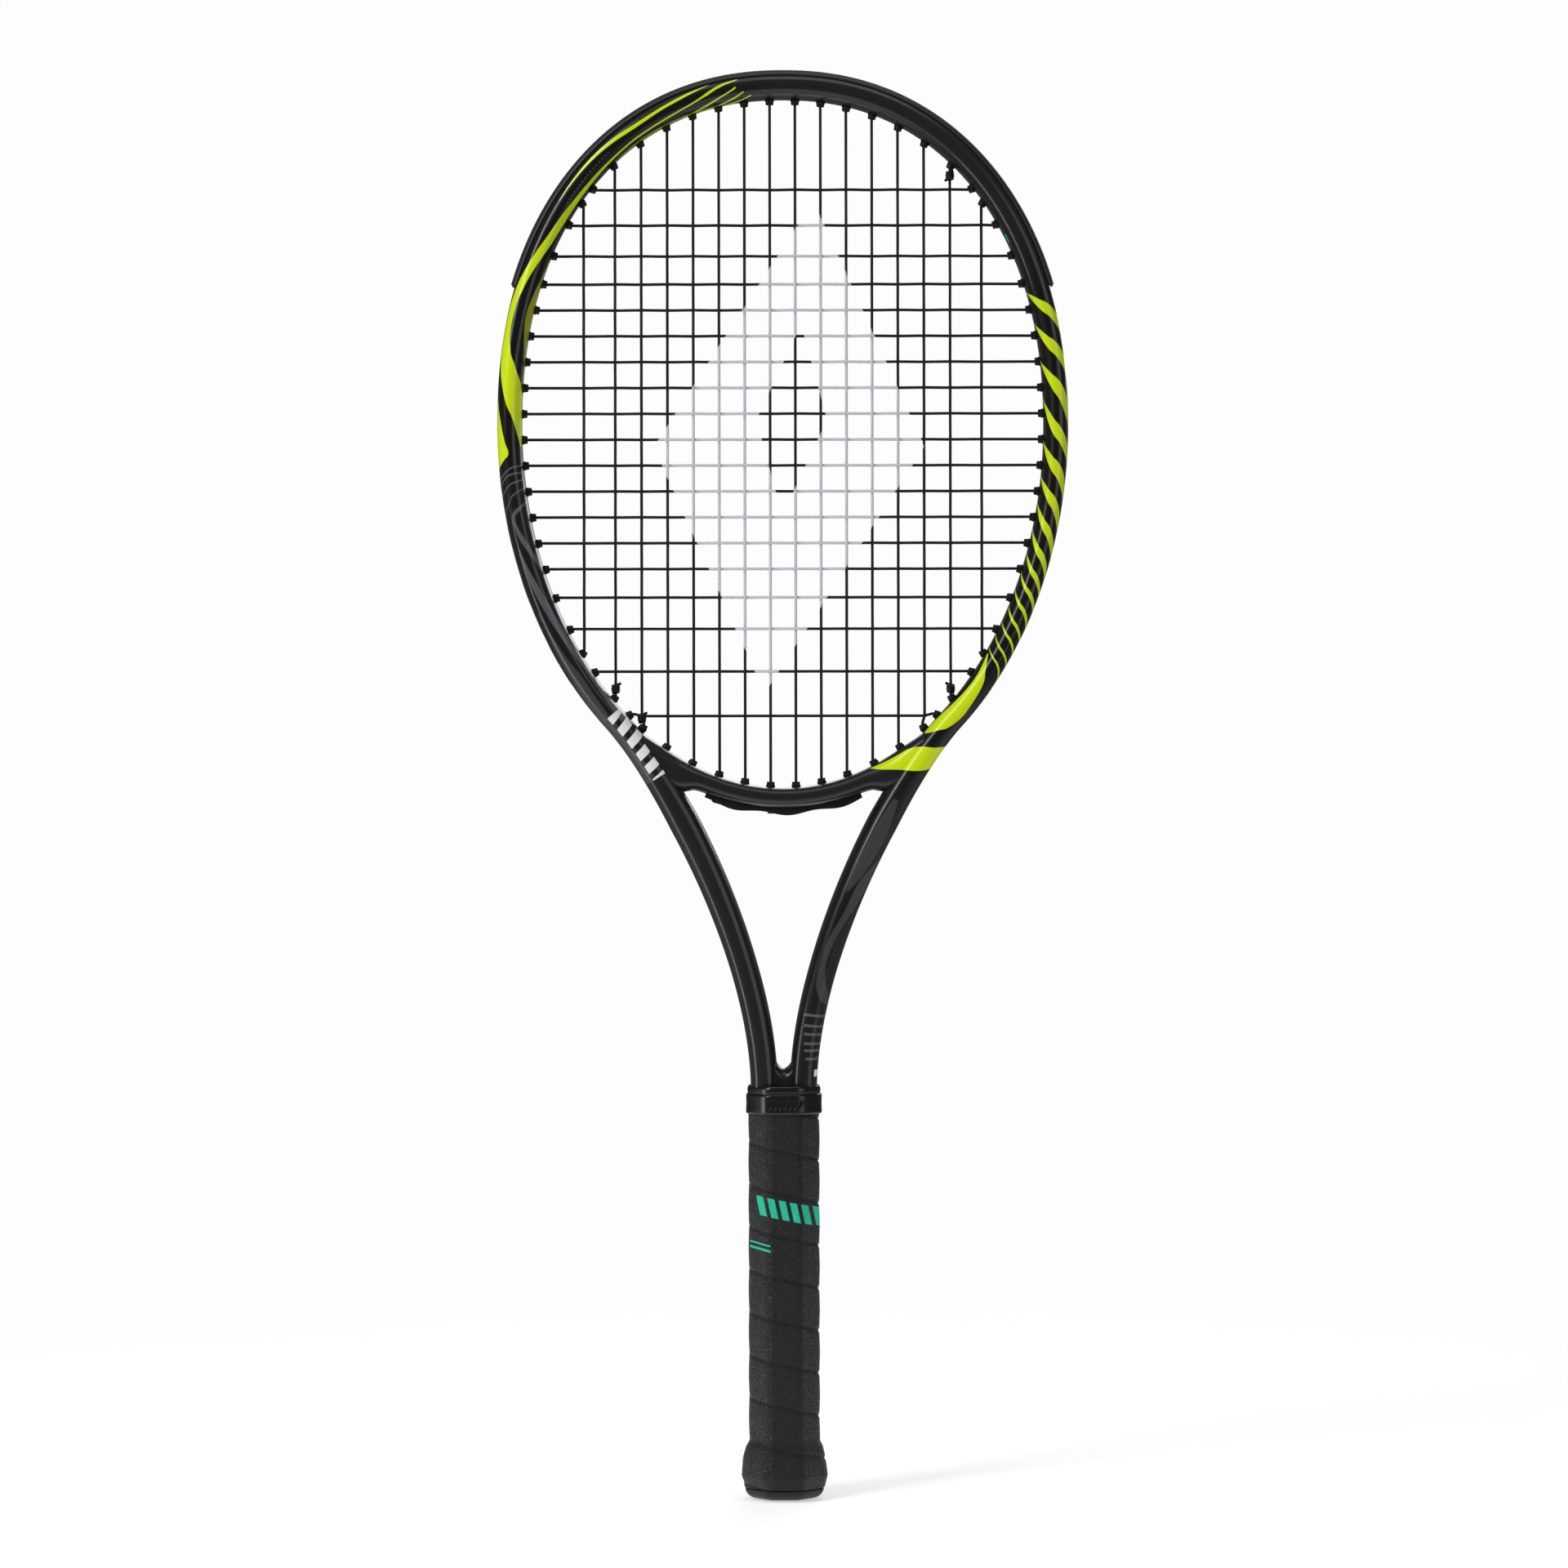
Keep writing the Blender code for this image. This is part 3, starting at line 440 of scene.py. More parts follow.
OUTER_GREY = [
    (-424.0, 0.52, 0.98), (-387.7, 0.52, 0.95), (-375.5, 0.49, 0.86), (-363.3, 0.48, 0.76),
    (-351.2, 0.535, 0.73), (-339.0, 0.591, 0.69), (-326.8, 0.65, 0.7),
]
ARM_RIBBONS = [
    [
        (436.0, 0.47, 0.54), (444.1, 0.446, 0.609), (451.0, 0.433, 0.657), (457.8, 0.426, 0.678),
        (464.6, 0.423, 0.661), (471.4, 0.415, 0.612), (478.3, 0.411, 0.55), (486.0, 0.43, 0.46),
    ],
    [
        (462.0, 0.9, 1.0), (471.8, 0.671, 1.0), (478.9, 0.572, 0.88), (485.9, 0.542, 0.771),
        (492.9, 0.528, 0.708), (500.0, 0.501, 0.617), (507.0, 0.457, 0.558), (514.1, 0.419, 0.527),
        (521.1, 0.425, 0.518), (528.1, 0.435, 0.569), (535.2, 0.485, 0.755), (541.0, 0.7, 1.0),
    ],
]
INNER_SWOOSH = [
    (353.0, 0.2, 0.24), (360.5, 0.28, 0.43), (366.5, 0.31, 0.532), (372.5, 0.3, 0.58),
    (378.6, 0.269, 0.612), (384.6, 0.22, 0.63), (390.6, 0.16, 0.588), (396.6, 0.1, 0.47),
    (403.0, 0.05, 0.12),
]
# Grey hairlines across the tube, as (turn, distance along the tube).
HAIRLINES = [
    [(0.0, -255.1), (0.3, -255.9), (0.476, -256.6), (0.594, -258.3), (0.712, -259.9), (1.0, -262.5)],
    [(0.0, -258.8), (0.3, -259.2), (0.521, -259.9), (0.69, -262.1), (0.764, -263.2), (1.0, -266.0)],
    [(0.0, -262.1), (0.3, -263.0), (0.519, -264.3), (0.694, -267.2), (0.783, -268.6), (1.0, -272.0)],
    [(0.0, -264.3), (0.149, -266.2), (0.505, -269.7), (0.643, -273.7), (0.716, -275.4), (1.0, -281.0)],
]
SHORT_LINES = [(547.2, 0.33), (552.3, 0.38), (556.4, 0.41), (560.9, 0.44), (564.3, 0.46), (568.3, 0.49)]
# Where each of the yellow stripes starts on the inside of the tube, and ends on the outside.
STRIPES_START = [
    155.0, 168.8, 184.6, 203.1, 221.8, 242.3, 259.9, 273.0, 286.1, 298.0, 307.7, 316.8, 325.7, 334.0,
    341.3, 348.5, 354.0,
]
STRIPES_END = [
    174.0, 193.7, 212.8, 236.8, 253.3, 271.9, 287.2, 300.2, 310.9, 318.8, 326.8, 335.1, 342.0, 348.9,
    355.5, 364.0, 371.0,
]
STRIPE_THINS = [(155.0, 0.7), (200.0, 0.95), (285.0, 1.0), (318.0, 0.72), (345.0, 0.5), (371.0, 0.42)]
STRIPE_SHARE = [
    (0.0, 0.04), (0.12, 0.13), (0.3, 0.33), (0.5, 0.44), (0.75, 0.5), (0.92, 0.42), (1.0, 0.36),
]
# Lower yellow ribbon over the shoulder: its bottom and top heights by distance to the right.
SHOULDER_BOTTOM = [
    (41.0, 350.2), (45.9, 349.7), (54.9, 349.5), (65.8, 349.0), (72.1, 350.4), (82.0, 354.0),
]
SHOULDER_TOP = [
    (41.0, 350.3), (49.5, 354.0), (54.9, 356.9), (60.4, 359.9), (65.8, 360.8), (73.0, 360.3),
    (82.0, 362.0),
]


def ribbon(gone, turn, rows, edge=0.012):
    """1 inside a ribbon of paint."""
    low = gone.curve([(row[0], row[1]) for row in rows])
    high = gone.curve([(row[0], row[2]) for row in rows])
    inside = gone.between(rows[0][0], rows[-1][0], 0.3)
    return ((turn - low) / edge + 0.5).clipped() * ((high - turn) / edge + 0.5).clipped() * inside


def curve_through(signal, rows, low, span):
    """A curve through (input, output) rows whose outputs lie between low and low + span."""
    return signal.curve([(place, (value - low) / span) for place, value in rows]) * span + low


def shoulder_ribbon(x, z):
    """1 inside the lower yellow ribbon, which crosses from the bridge to the arm."""
    bottom, top = [curve_through(x, rows, 340.0, 40.0) for rows in (SHOULDER_BOTTOM, SHOULDER_TOP)]
    return z.between(bottom, top, 0.3) * x.between(41.5, 90.0, 0.4)


def lacquered(finish, spot, colour):
    """Paint under clear lacquer, with faint flow marks, dust and handling haze."""
    flow = finish.noise(spot, 260.0, 2.0)
    haze = finish.noise(spot, 38.0, 4.0, 0.6)
    specks = finish.noise(spot, 2600.0, 1.0)
    finish.give("Base Color", finish.mix(colour, tone(70, 70, 74), specks.over(0.7, 0.12) * 0.25))
    finish.give("Roughness", 0.24 + 0.16 * haze)
    finish.bump(flow * 0.6 + specks * 0.15, 0.25, 0.00012)


LACQUER = {"Specular_IOR_Level": 0.32, "Coat_Weight": 0.35, "Coat_Roughness": 0.12}
lacquer = Finish("frame_paint", **LACQUER)
spot, x, y, z = lacquer.place()
gone, turn = lacquer.attribute("along"), lacquer.attribute("turn")
share = (gone + TUBE_HALF_LENGTH) / (2 * TUBE_HALF_LENGTH)
stops = [((s + TUBE_HALF_LENGTH) / (2 * TUBE_HALF_LENGTH), c) for s, c in GROUND]
stops = [(min(max(place, 0.0), 1.0), c) for place, c in stops]
colour = lacquer.node("ShaderNodeValToRGB", {"stops": stops}, {"Fac": share})
for rows in (HOOK, SMALL_HOOK, GREY_RIBBON):
    colour = lacquer.mix(colour, GREY, ribbon(gone, turn, rows))
colour = lacquer.mix(colour, DIM_GREY, ribbon(gone, turn, OUTER_GREY))
for rows in ARM_RIBBONS:
    colour = lacquer.mix(colour, DIM_GREY, ribbon(gone, turn, rows))
for points in HAIRLINES:
    line = curve_through(turn, points, -285.0, 35.0)
    colour = lacquer.mix(colour, GREY, abs(gone - line).under(0.55, 0.25))
for place, start in SHORT_LINES:
    line = abs(gone - place + 2.2 * turn - 1.4).under(0.75, 0.25) * turn.over(start, 0.02)
    colour = lacquer.mix(colour, GREY, line)
# Painted shade: the yellow on the inside of the tube is darkened to olive.
for rows in (SHADED_YELLOW_RIBBON, SHADED_YELLOW_LINE):
    colour = lacquer.mix(colour, SHADED_YELLOW, ribbon(gone, turn, rows))
for rows in (WIDE_RIBBON, HIGH_RIBBON, OUTER_RIBBON, INNER_SWOOSH, *FINE_LINES):
    colour = lacquer.mix(colour, YELLOW, ribbon(gone, turn, rows))
last = len(STRIPES_START) - 1
starts = curve_through(gone, [(s, n) for n, s in enumerate(STRIPES_START)], 0.0, last)
ends = curve_through(gone, [(s, n) for n, s in enumerate(STRIPES_END)], 0.0, last)
count = starts * (1 - turn) + ends * turn
half_share = turn.curve(STRIPE_SHARE) * gone.curve(STRIPE_THINS) * 0.5
stripes = count.off_whole().under(half_share, 0.03)
stripes = stripes * count.between(0.5, 15.5, 0.01) * gone.between(160.0, 368.0, 0.5)
colour = lacquer.mix(colour, YELLOW, stripes)
colour = lacquer.mix(colour, YELLOW, shoulder_ribbon(x, z))
# Plain marks: five white bars low on the left, one on the right arm, a teal dash and fine grey dashes.
bars = (gone + 422.5 + 5.0 * turn) / 7.4
bars = bars.off_whole().under(0.31, 0.03) * gone.between(-424.0, -386.5, 0.2)
colour = lacquer.mix(colour, WHITE, bars * turn.between(0.2, 0.6, 0.02))
small = (gone + 2.0 * turn).between(575.0, 578.6, 0.2) * turn.between(0.72, 0.93, 0.02)
colour = lacquer.mix(colour, WHITE, small)
colour = lacquer.mix(colour, TEAL, gone.between(139.0, 143.5, 0.2) * turn.between(0.1, 0.16, 0.01))
dashes = (gone / 2.1).off_whole().under(0.3, 0.1) * gone.between(-126.0, -92.0, 0.3)
colour = lacquer.mix(colour, GREY, dashes * abs(turn - 0.44).under(0.012, 0.006))
lacquered(lacquer, spot, colour)

shape = bmesh.new()
along_layer = shape.verts.layers.float.new("along")
turn_layer = shape.verts.layers.float.new("turn")
stations = np.linspace(-TUBE_HALF_LENGTH, TUBE_HALF_LENGTH, round(2 * TUBE_HALF_LENGTH / TUBE_STEP))
sections = [tube_section(on_tube(station)[0][1]) for station in stations]
rings = draw_through(shape, [in_plane(*on_tube(s), section) for s, section in zip(stations, sections)])
for ring, station, section in zip(rings, stations, sections):
    for vert, (_, _, turned) in zip(ring, section):
        vert[along_layer], vert[turn_layer] = station, turned
piece("hairpin_tube", shape, lacquer, stands_for=["hairpin_frame"])

# Web: the moulded saddle that closes the slot between the two legs, just above the collar.
# It is part of the same moulding; its front and back lie deeper than the legs beside it.
WEB_TOP_Z = 206.4
WEB_HALF_DEPTH = 7.2
WEB_BOTTOM_Z = 178.0
WEB_HALF_WIDTH, WEB_SAG, WEB_ROUND = 5.4, 7.0, 6.0

plain_lacquer = Finish("web_and_bridge_paint", **LACQUER)
spot, x, y, z = plain_lacquer.place()
lacquered(plain_lacquer, spot, plain_lacquer.mix(CHARCOAL, YELLOW, shoulder_ribbon(x, z)))

shape = bmesh.new()
bmesh.ops.create_grid(shape, x_segments=16, y_segments=40, size=1.0)
for vert in shape.verts:
    across, over = vert.co.x, vert.co.y
    saddle = WEB_TOP_Z + WEB_SAG * across**2
    turned = min(abs(over), 0.5) * math.pi
    height = saddle - WEB_ROUND * (1 - math.cos(turned))
    height -= (height - WEB_BOTTOM_Z) * max(abs(over) - 0.5, 0) * 2
    depth = math.copysign(WEB_HALF_DEPTH * math.sin(turned), over)
    vert.co = Vector((WEB_HALF_WIDTH * across, depth, height)) * MM
bmesh.ops.holes_fill(shape, edges=shape.edges)
piece("leg_web", shape, plain_lacquer)

# Throat bridge: a short moulded arch that closes the bottom of the hoop.
# It is bonded between the arms, and its ends flare into them.
BRIDGE_X = (36.0, 39.0, 41.0, 44.0, 49.0, 56.0, 62.0)
BRIDGE_WIDTHS = (5.1, 5.5, 6.5, 7.8, 8.4, 6.6, 5.0)
BRIDGE_HALF_DEPTH = 10.6
BRIDGE_SINKS_X = (58.0, 72.0)
BRIDGE_SINK = 1.6

bridge_rings = []
for angle in np.linspace(ARM_LEAVES_AT - 0.03, -math.pi - ARM_LEAVES_AT + 0.03, 73):
    inner, outward = inner_line(angle)
    width = float(np.interp(abs(inner[0]), BRIDGE_X, BRIDGE_WIDTHS))
    sink = BRIDGE_SINK * float(np.interp(abs(inner[0]), BRIDGE_SINKS_X, (0, 1)))
    section = []
    for round_at in circle(32):
        out = width * power(math.cos(round_at), SECTION_POWER)
        section.append((out, BRIDGE_HALF_DEPTH * power(math.sin(round_at), SECTION_POWER)))
    bridge_rings.append(in_plane(inner + (width + sink) * outward, outward, section))
shape = bmesh.new()
draw_through(shape, bridge_rings)
piece("bridge_arch", shape, plain_lacquer, stands_for=["throat_bridge"])

# String holes: where each string passes through the frame, and which way its hole points.
# Those of the two steep mains on each side lean outwards; all the others are square to the hoop.
# The mouth of each barrel bends a little to the way that its string pulls.
BARREL_RADIUS = 1.75
BORE_RADIUS = 0.85
BARREL_STICKS_IN = 2.5
STRIP_THICKNESS = 1.0
STRING_RADIUS = 0.7
MAIN_PITCH, MAIN_PITCH_GROWTH, LAST_MAIN_EXTRA = 12.15, 0.075, 2.4
MAINS_EACH_SIDE = 8
BRIDGE_HOLES = 3
CORNER_MAIN = 5
BEND_CLEARANCE = 0.8
AIM_REACH = 1.4
AIM_ROUNDS = 6
BARREL_CORNERS = 14
CROSS_STEPS = [17.1, 14.8, 13.5] + [12.44] * 11 + [13.7, 15.1, 20.5, 21.4]
FIRST_CROSS_Z = 628.6
SHOULDER_HOLE_ANGLE = math.radians(-37)
BRIDGE_DEPTH = 10.2
BRIDGE_LANE = BRIDGE_DEPTH + 2 * GAP + STRIP_THICKNESS + 0.66
LANE_SLACK = 0.1
LANE_SEARCH = np.arange(6.0, 45.0, 0.1)
UP, DOWN = (0.0, 1.0), (0.0, -1.0)

main_x = []
for i in range(MAINS_EACH_SIDE):
    main_x.append(MAIN_PITCH * (i + 0.5) + MAIN_PITCH_GROWTH * i * (i + 1) / 2)
main_x[-1] += LAST_MAIN_EXTRA
cross_z = [FIRST_CROSS_Z - sum(CROSS_STEPS[:i]) for i in range(len(CROSS_STEPS) + 1)]


def angle_at_x(x, up=False):
    bend = HEAD_POWER_UP if up else HEAD_POWER_DOWN
    return math.acos((x / HEAD_HALF_WIDTH) ** (bend / 2)) * (1 if up else -1)


def angle_at_z(z):
    up = z > HEAD_CENTRE_Z
    rise = HEAD_RISE if up else HEAD_DROP
    bend = HEAD_POWER_UP if up else HEAD_POWER_DOWN
    return math.asin(abs((z - HEAD_CENTRE_Z) / rise) ** (bend / 2)) * (1 if up else -1)


def lane_level(z):
    return floor_level(z) + GAP + STRIP_THICKNESS + STRING_RADIUS + LANE_SLACK


class Hole:
    """A string hole: its inner point, its direction, where it meets the lane and how far along.

    The lane is a string's way along the floor of the groove, and pull is the way the string pulls.
    """

    def __init__(self, angle, kind, pull):
        self.inner, self.direction = inner_line(angle)
        self.pull = np.array(pull)
        if kind == "bridge":
            self.lane, self.gone = self.inner + BRIDGE_LANE * self.direction, None
            return
        if kind == "shoulder":
            turned = SHOULDER_HOLE_ANGLE
            self.direction = np.array((math.cos(turned), math.sin(turned)))
        for reach in LANE_SEARCH:
            self.lane = self.inner + reach * self.direction
            nearest = np.argmin(np.hypot(*(tube_line - self.lane).T))
            if (self.lane - tube_line[nearest]) @ tube_out[nearest] >= lane_level(self.lane[1]):
                break
        self.gone = tube_gone[nearest]

    def seat(self):
        """Where the string turns off its straight line into the hole."""
        return self.inner - AIM_REACH * self.direction

    def tip(self, clear=BEND_CLEARANCE):
        """A point on the straight string, just clear of the barrel's mouth."""
        return self.seat() + (BARREL_STICKS_IN - AIM_REACH + clear) * self.pull


def hole_on(line, axis, angle_at, kind="hoop", pull=(-1.0, 0.0), rounds=AIM_ROUNDS):
    """The hole whose barrel sits on a string's own line: an X for a main, a Z for a cross."""
    aim = line
    for _ in range(rounds):
        aim += line - Hole(angle_at(aim), kind, pull).seat()[axis]
    return Hole(angle_at(aim), kind, pull)


low_kinds = ["bridge"] * BRIDGE_HOLES + ["shoulder"] * 2 + ["hoop"] * 3
top_holes = [hole_on(x, 0, lambda at: angle_at_x(at, True), pull=DOWN) for x in main_x]
low_holes = [hole_on(x, 0, angle_at_x, kind, UP) for x, kind in zip(main_x, low_kinds)]
cross_holes = [hole_on(z, 1, angle_at_z) for z in cross_z]
low_holes[CORNER_MAIN] = hole_on(main_x[CORNER_MAIN], 0, angle_at_x, pull=UP, rounds=0)
cross_holes[-1] = hole_on(cross_z[-1], 1, angle_at_z, rounds=0)


def flat(point, depth=0.0, side=1):
    return (side * point[0], depth, point[1])


def barrel(shape, at, side=1):
    """One hollow grommet barrel; its mouth sticks in past the frame and gives to the string's pull."""
    length = float(np.hypot(*(at.lane - at.inner))) - 1.2
    profile = [(BORE_RADIUS, length), (BORE_RADIUS, -AIM_REACH), (BORE_RADIUS, -BARREL_STICKS_IN + 0.15)]
    profile += [(1.05, -BARREL_STICKS_IN), (1.7, -BARREL_STICKS_IN), (1.95, -BARREL_STICKS_IN + 0.3)]
    profile += [(1.9, -1.2), (2.2, -0.9), (2.2, 0.3), (BARREL_RADIUS, 1.0), (1.6, length)]
    rings = []
    for radius, reach in profile:
        ring = []
        centre, facing = at.inner + reach * at.direction, -at.direction
        if reach < -AIM_REACH:
            centre = at.seat() - (reach + AIM_REACH) * at.pull
            facing = at.pull - at.direction
        across = np.array((facing[1], -facing[0])) / np.hypot(*facing)
        for round_at in circle(BARREL_CORNERS):
            point = centre + radius * math.cos(round_at) * across
            ring.append(flat(point, radius * math.sin(round_at), side))
        rings.append(ring)
    draw_through(shape, rings, "joined")


# Bumper guard and grommet strips: black nylon mouldings pressed into the groove and the holes.
# The guard wraps over the tip of the hoop and takes the scrapes; the strips lie deep in the groove.
LANE_HALF_WIDTH = 2.7
BUMPER_HALF_DEPTH = 9.0
BUMPER_PROUD = 1.9
BUMPER_ENDS_Z = 580.5
SIDE_STRIP_STARTS_Z = 579.4
SIDE_STRIP_ENDS_Z = 333.0
BUMPER_CROSSES = 4

nylon = Finish("grommet_nylon", Specular_IOR_Level=0.3)
spot, x, y, z = nylon.place()
mottle = nylon.noise(spot, 900.0, 3.0)
nylon.give("Base Color", nylon.mix(tone(14, 14, 15), tone(30, 30, 32), mottle))
nylon.give("Roughness", 0.42 + 0.2 * nylon.noise(spot, 120.0, 3.0))
nylon.bump(mottle, 0.3, 0.0001)

guard_nylon = Finish("bumper_nylon", Specular_IOR_Level=0.42)
spot, x, y, z = guard_nylon.place()
mottle = guard_nylon.noise(spot, 1400.0, 3.0)
cloud = guard_nylon.noise(spot, 60.0, 4.0)
scrape = guard_nylon.noise(guard_nylon.stretched(spot, (60.0, 900.0, 60.0)), 1.0, 4.0, 0.7)
wear_and_lit_sides = scrape.over(0.62, 0.08) * z.over(655.0, 25.0)
body_tone = guard_nylon.mix(tone(38, 38, 40), tone(50, 50, 53), cloud)
guard_nylon.give("Base Color", guard_nylon.mix(body_tone, tone(84, 84, 86), wear_and_lit_sides * 0.5))
guard_nylon.give("Roughness", 0.36 + 0.14 * cloud + 0.2 * wear_and_lit_sides)
guard_nylon.bump(mottle * 0.5 - wear_and_lit_sides, 0.3, 0.00012)


def bumper_section(z):
    size = tube_size(z)
    floor, edge = floor_level(z) + GAP, face_of(*size, BUMPER_HALF_DEPTH) + GAP
    crown, ridge = face_of(*size, 6.5) + BUMPER_PROUD, face_of(*size, 3.0) + BUMPER_PROUD
    lip = face_of(*size, GROOVE_HALF_WIDTH) + GAP
    side = [(floor, 3.1), (lip, 3.6), ((lip + edge) / 2 + 0.4, 7.0), (edge, BUMPER_HALF_DEPTH)]
    side += [(edge + 0.5, BUMPER_HALF_DEPTH + 0.05), (edge + 0.95, BUMPER_HALF_DEPTH - 0.35)]
    side += [((edge + crown) / 2 + 0.75, 7.9), (crown, 6.5), ((crown + ridge) / 2 + 0.15, 4.6)]
    side += [(ridge, 3.4), (ridge - 0.15, 3.05), (floor + 1.0, LANE_HALF_WIDTH)]
    return two_sided(side)


def strip_section(z):
    floor = floor_level(z) + GAP
    side = [(floor, 3.1), (floor + 0.8, 3.1), (floor + STRIP_THICKNESS, 2.9)]
    return two_sided(side)


def moulding(start, end, step, section_at, side=1):
    """A skin along the tube between two distances."""
    shape = bmesh.new()
    rings = []
    for station in np.linspace(start, end, round((end - start) / step)):
        point, outward = on_tube(station)
        rings.append([(side * a, b, c) for a, b, c in in_plane(point, outward, section_at(point[1]))])
    draw_through(shape, rings)
    return shape


guard_end = gone_at(BUMPER_ENDS_Z)
shape = moulding(-guard_end, guard_end, 3.0, bumper_section)
piece("guard_shell", shape, guard_nylon, stands_for=["bumper_guard"], sharp=50)
shape = bmesh.new()
for at in top_holes + cross_holes[:BUMPER_CROSSES]:
    for side in (1, -1):
        barrel(shape, at, side)
piece("guard_barrels", shape, nylon)

for name, side in (("right", 1), ("left", -1)):
    ends = gone_at(SIDE_STRIP_STARTS_Z), gone_at(SIDE_STRIP_ENDS_Z)
    shape = moulding(*ends, 3.5, strip_section, side)
    for at in cross_holes[BUMPER_CROSSES:] + low_holes[BRIDGE_HOLES:]:
        barrel(shape, at, side)
    piece(f"side_strip_{name}", shape, nylon, stands_for=[f"grommet_strip_{name}"])

# Throat strip: the short nylon strip under the bridge, with a bulge over each pair of holes.
# It is pressed on from below, and its barrels pass up through the bridge to the strings.
THROAT_STRIP_HALF_WIDTH = 33.5
THROAT_STRIP_WAVE = 23.0
THROAT_STRIP_BULGE = 1.5

shape = bmesh.new()
end_angle = angle_at_x(THROAT_STRIP_HALF_WIDTH)
rings = []
for angle in np.linspace(end_angle, -math.pi - end_angle, 61):
    inner, outward = inner_line(angle)
    base, floor = BRIDGE_DEPTH - 0.5, BRIDGE_DEPTH + GAP + STRIP_THICKNESS
    wave = 0.5 + 0.5 * math.cos(2 * math.pi * (inner[0] - 2.0) / THROAT_STRIP_WAVE)
    top = floor + 0.5 + THROAT_STRIP_BULGE * wave
    side = [(base, 4.1), (base + 0.3, 4.2), (top - 0.4, 4.2), (top, 3.8), (top, 3.2), (top - 0.3, 2.9)]
    side.append((floor, LANE_HALF_WIDTH))
    rings.append(in_plane(inner, outward, two_sided(side)))
draw_through(shape, rings)
for at in low_holes[:BRIDGE_HOLES]:
    for side in (1, -1):
        barrel(shape, at, side)
piece("throat_strip", shape, nylon, stands_for=["throat_grommet_strip"])

# Strings: round black string, one length for the 16 mains and one for the 19 crosses.
# Each is laced through its holes and woven over and under, tied off with small knots.
# A white lozenge with a small window is stencilled across the middle of the face.
WEAVE = 0.66
GROOVE_LANE = 1.5
LANE_SHIFT = 1.8
WEAVE_STEPS = 4
LOZENGE_X, LOZENGE_Z, LOZENGE_LEAN = 3.0, 505.0, 0.1
LOZENGE_HALF_X, LOZENGE_HALF_Z = 66.0, 120.0
WINDOW_Z, WINDOW_HALF_X, WINDOW_HALF_Z = 518.0, 17.0, 46.0

string_paint = Finish("string_paint", Specular_IOR_Level=0.35)
spot, x, y, z = string_paint.place()
lean = x - LOZENGE_LEAN * (z - LOZENGE_Z) - LOZENGE_X
outer = abs(lean) / LOZENGE_HALF_X + abs(z - LOZENGE_Z) / LOZENGE_HALF_Z
inner = abs(lean) / WINDOW_HALF_X + abs(z - WINDOW_Z) / WINDOW_HALF_Z
ragged = 0.02 * string_paint.noise(spot, 420.0, 2.0)
stencil = (outer + ragged).under(1.0, 0.008) * (1 - (inner - ragged).under(1.0, 0.02))
fleck = string_paint.noise(spot, 1500.0, 3.0, 0.6)
ink = string_paint.mix(tone(226, 222, 232), tone(190, 184, 200), fleck.over(0.6, 0.1))
black = string_paint.mix(tone(8, 8, 10), tone(22, 22, 24), fleck)
string_paint.give("Base Color", string_paint.mix(black, ink, stencil))
string_paint.give("Roughness", 0.38 + 0.25 * stencil + 0.1 * fleck)
string_paint.bump(fleck, 0.25, 0.00008)


def crosses_main(i, j):
    """Whether main i and cross j, counted out from the axis and down from the top, meet."""
    reaches = main_x[i] < cross_holes[j].tip()[0]
    return reaches and low_holes[i].tip()[1] < cross_z[j] < top_holes[i].tip()[1]


def woven(knots):
    """A soft wave through points that alternate in front and behind."""
    points = [knots[0]]
    for start, end in zip(np.array(knots), np.array(knots)[1:]):
        for share in np.linspace(0, 1, WEAVE_STEPS + 1)[1:]:
            points.append(tuple(start + (end - start) * (share, ease(share), share)))
    return points


def counted(number):
    """How far out from the axis a main counted from the left stands, and on which side."""
    if number < MAINS_EACH_SIDE:
        return MAINS_EACH_SIDE - 1 - number, -1
    return number - MAINS_EACH_SIDE, 1


def entry(at, side=1):
    """The way of a string from its barrel's mouth nearly to the lane outside the frame."""
    return [flat(place, 0, side) for place in (at.tip(0), at.seat(), at.lane - 1.5 * at.direction)]


def lane(first, second, depth, side):
    """The run outside the frame from one hole to the next, in through the second."""
    points = entry(first, side)
    if first.gone is None:
        step = second.lane - first.lane
        shift = LANE_SHIFT * step / np.hypot(*step)
        points += [flat(first.lane + shift, depth, side), flat(second.lane - shift, depth, side)]
    else:
        onward = 1 if second.gone > first.gone else -1
        start, end = first.gone + onward * LANE_SHIFT, second.gone - onward * LANE_SHIFT
        for station in np.linspace(start, end, max(round(abs(end - start) / 2.0), 1) + 1):
            point, outward = on_tube(station)
            points.append(flat(point + lane_level(point[1]) * outward, depth, side))
    return points + entry(second, side)[::-1]


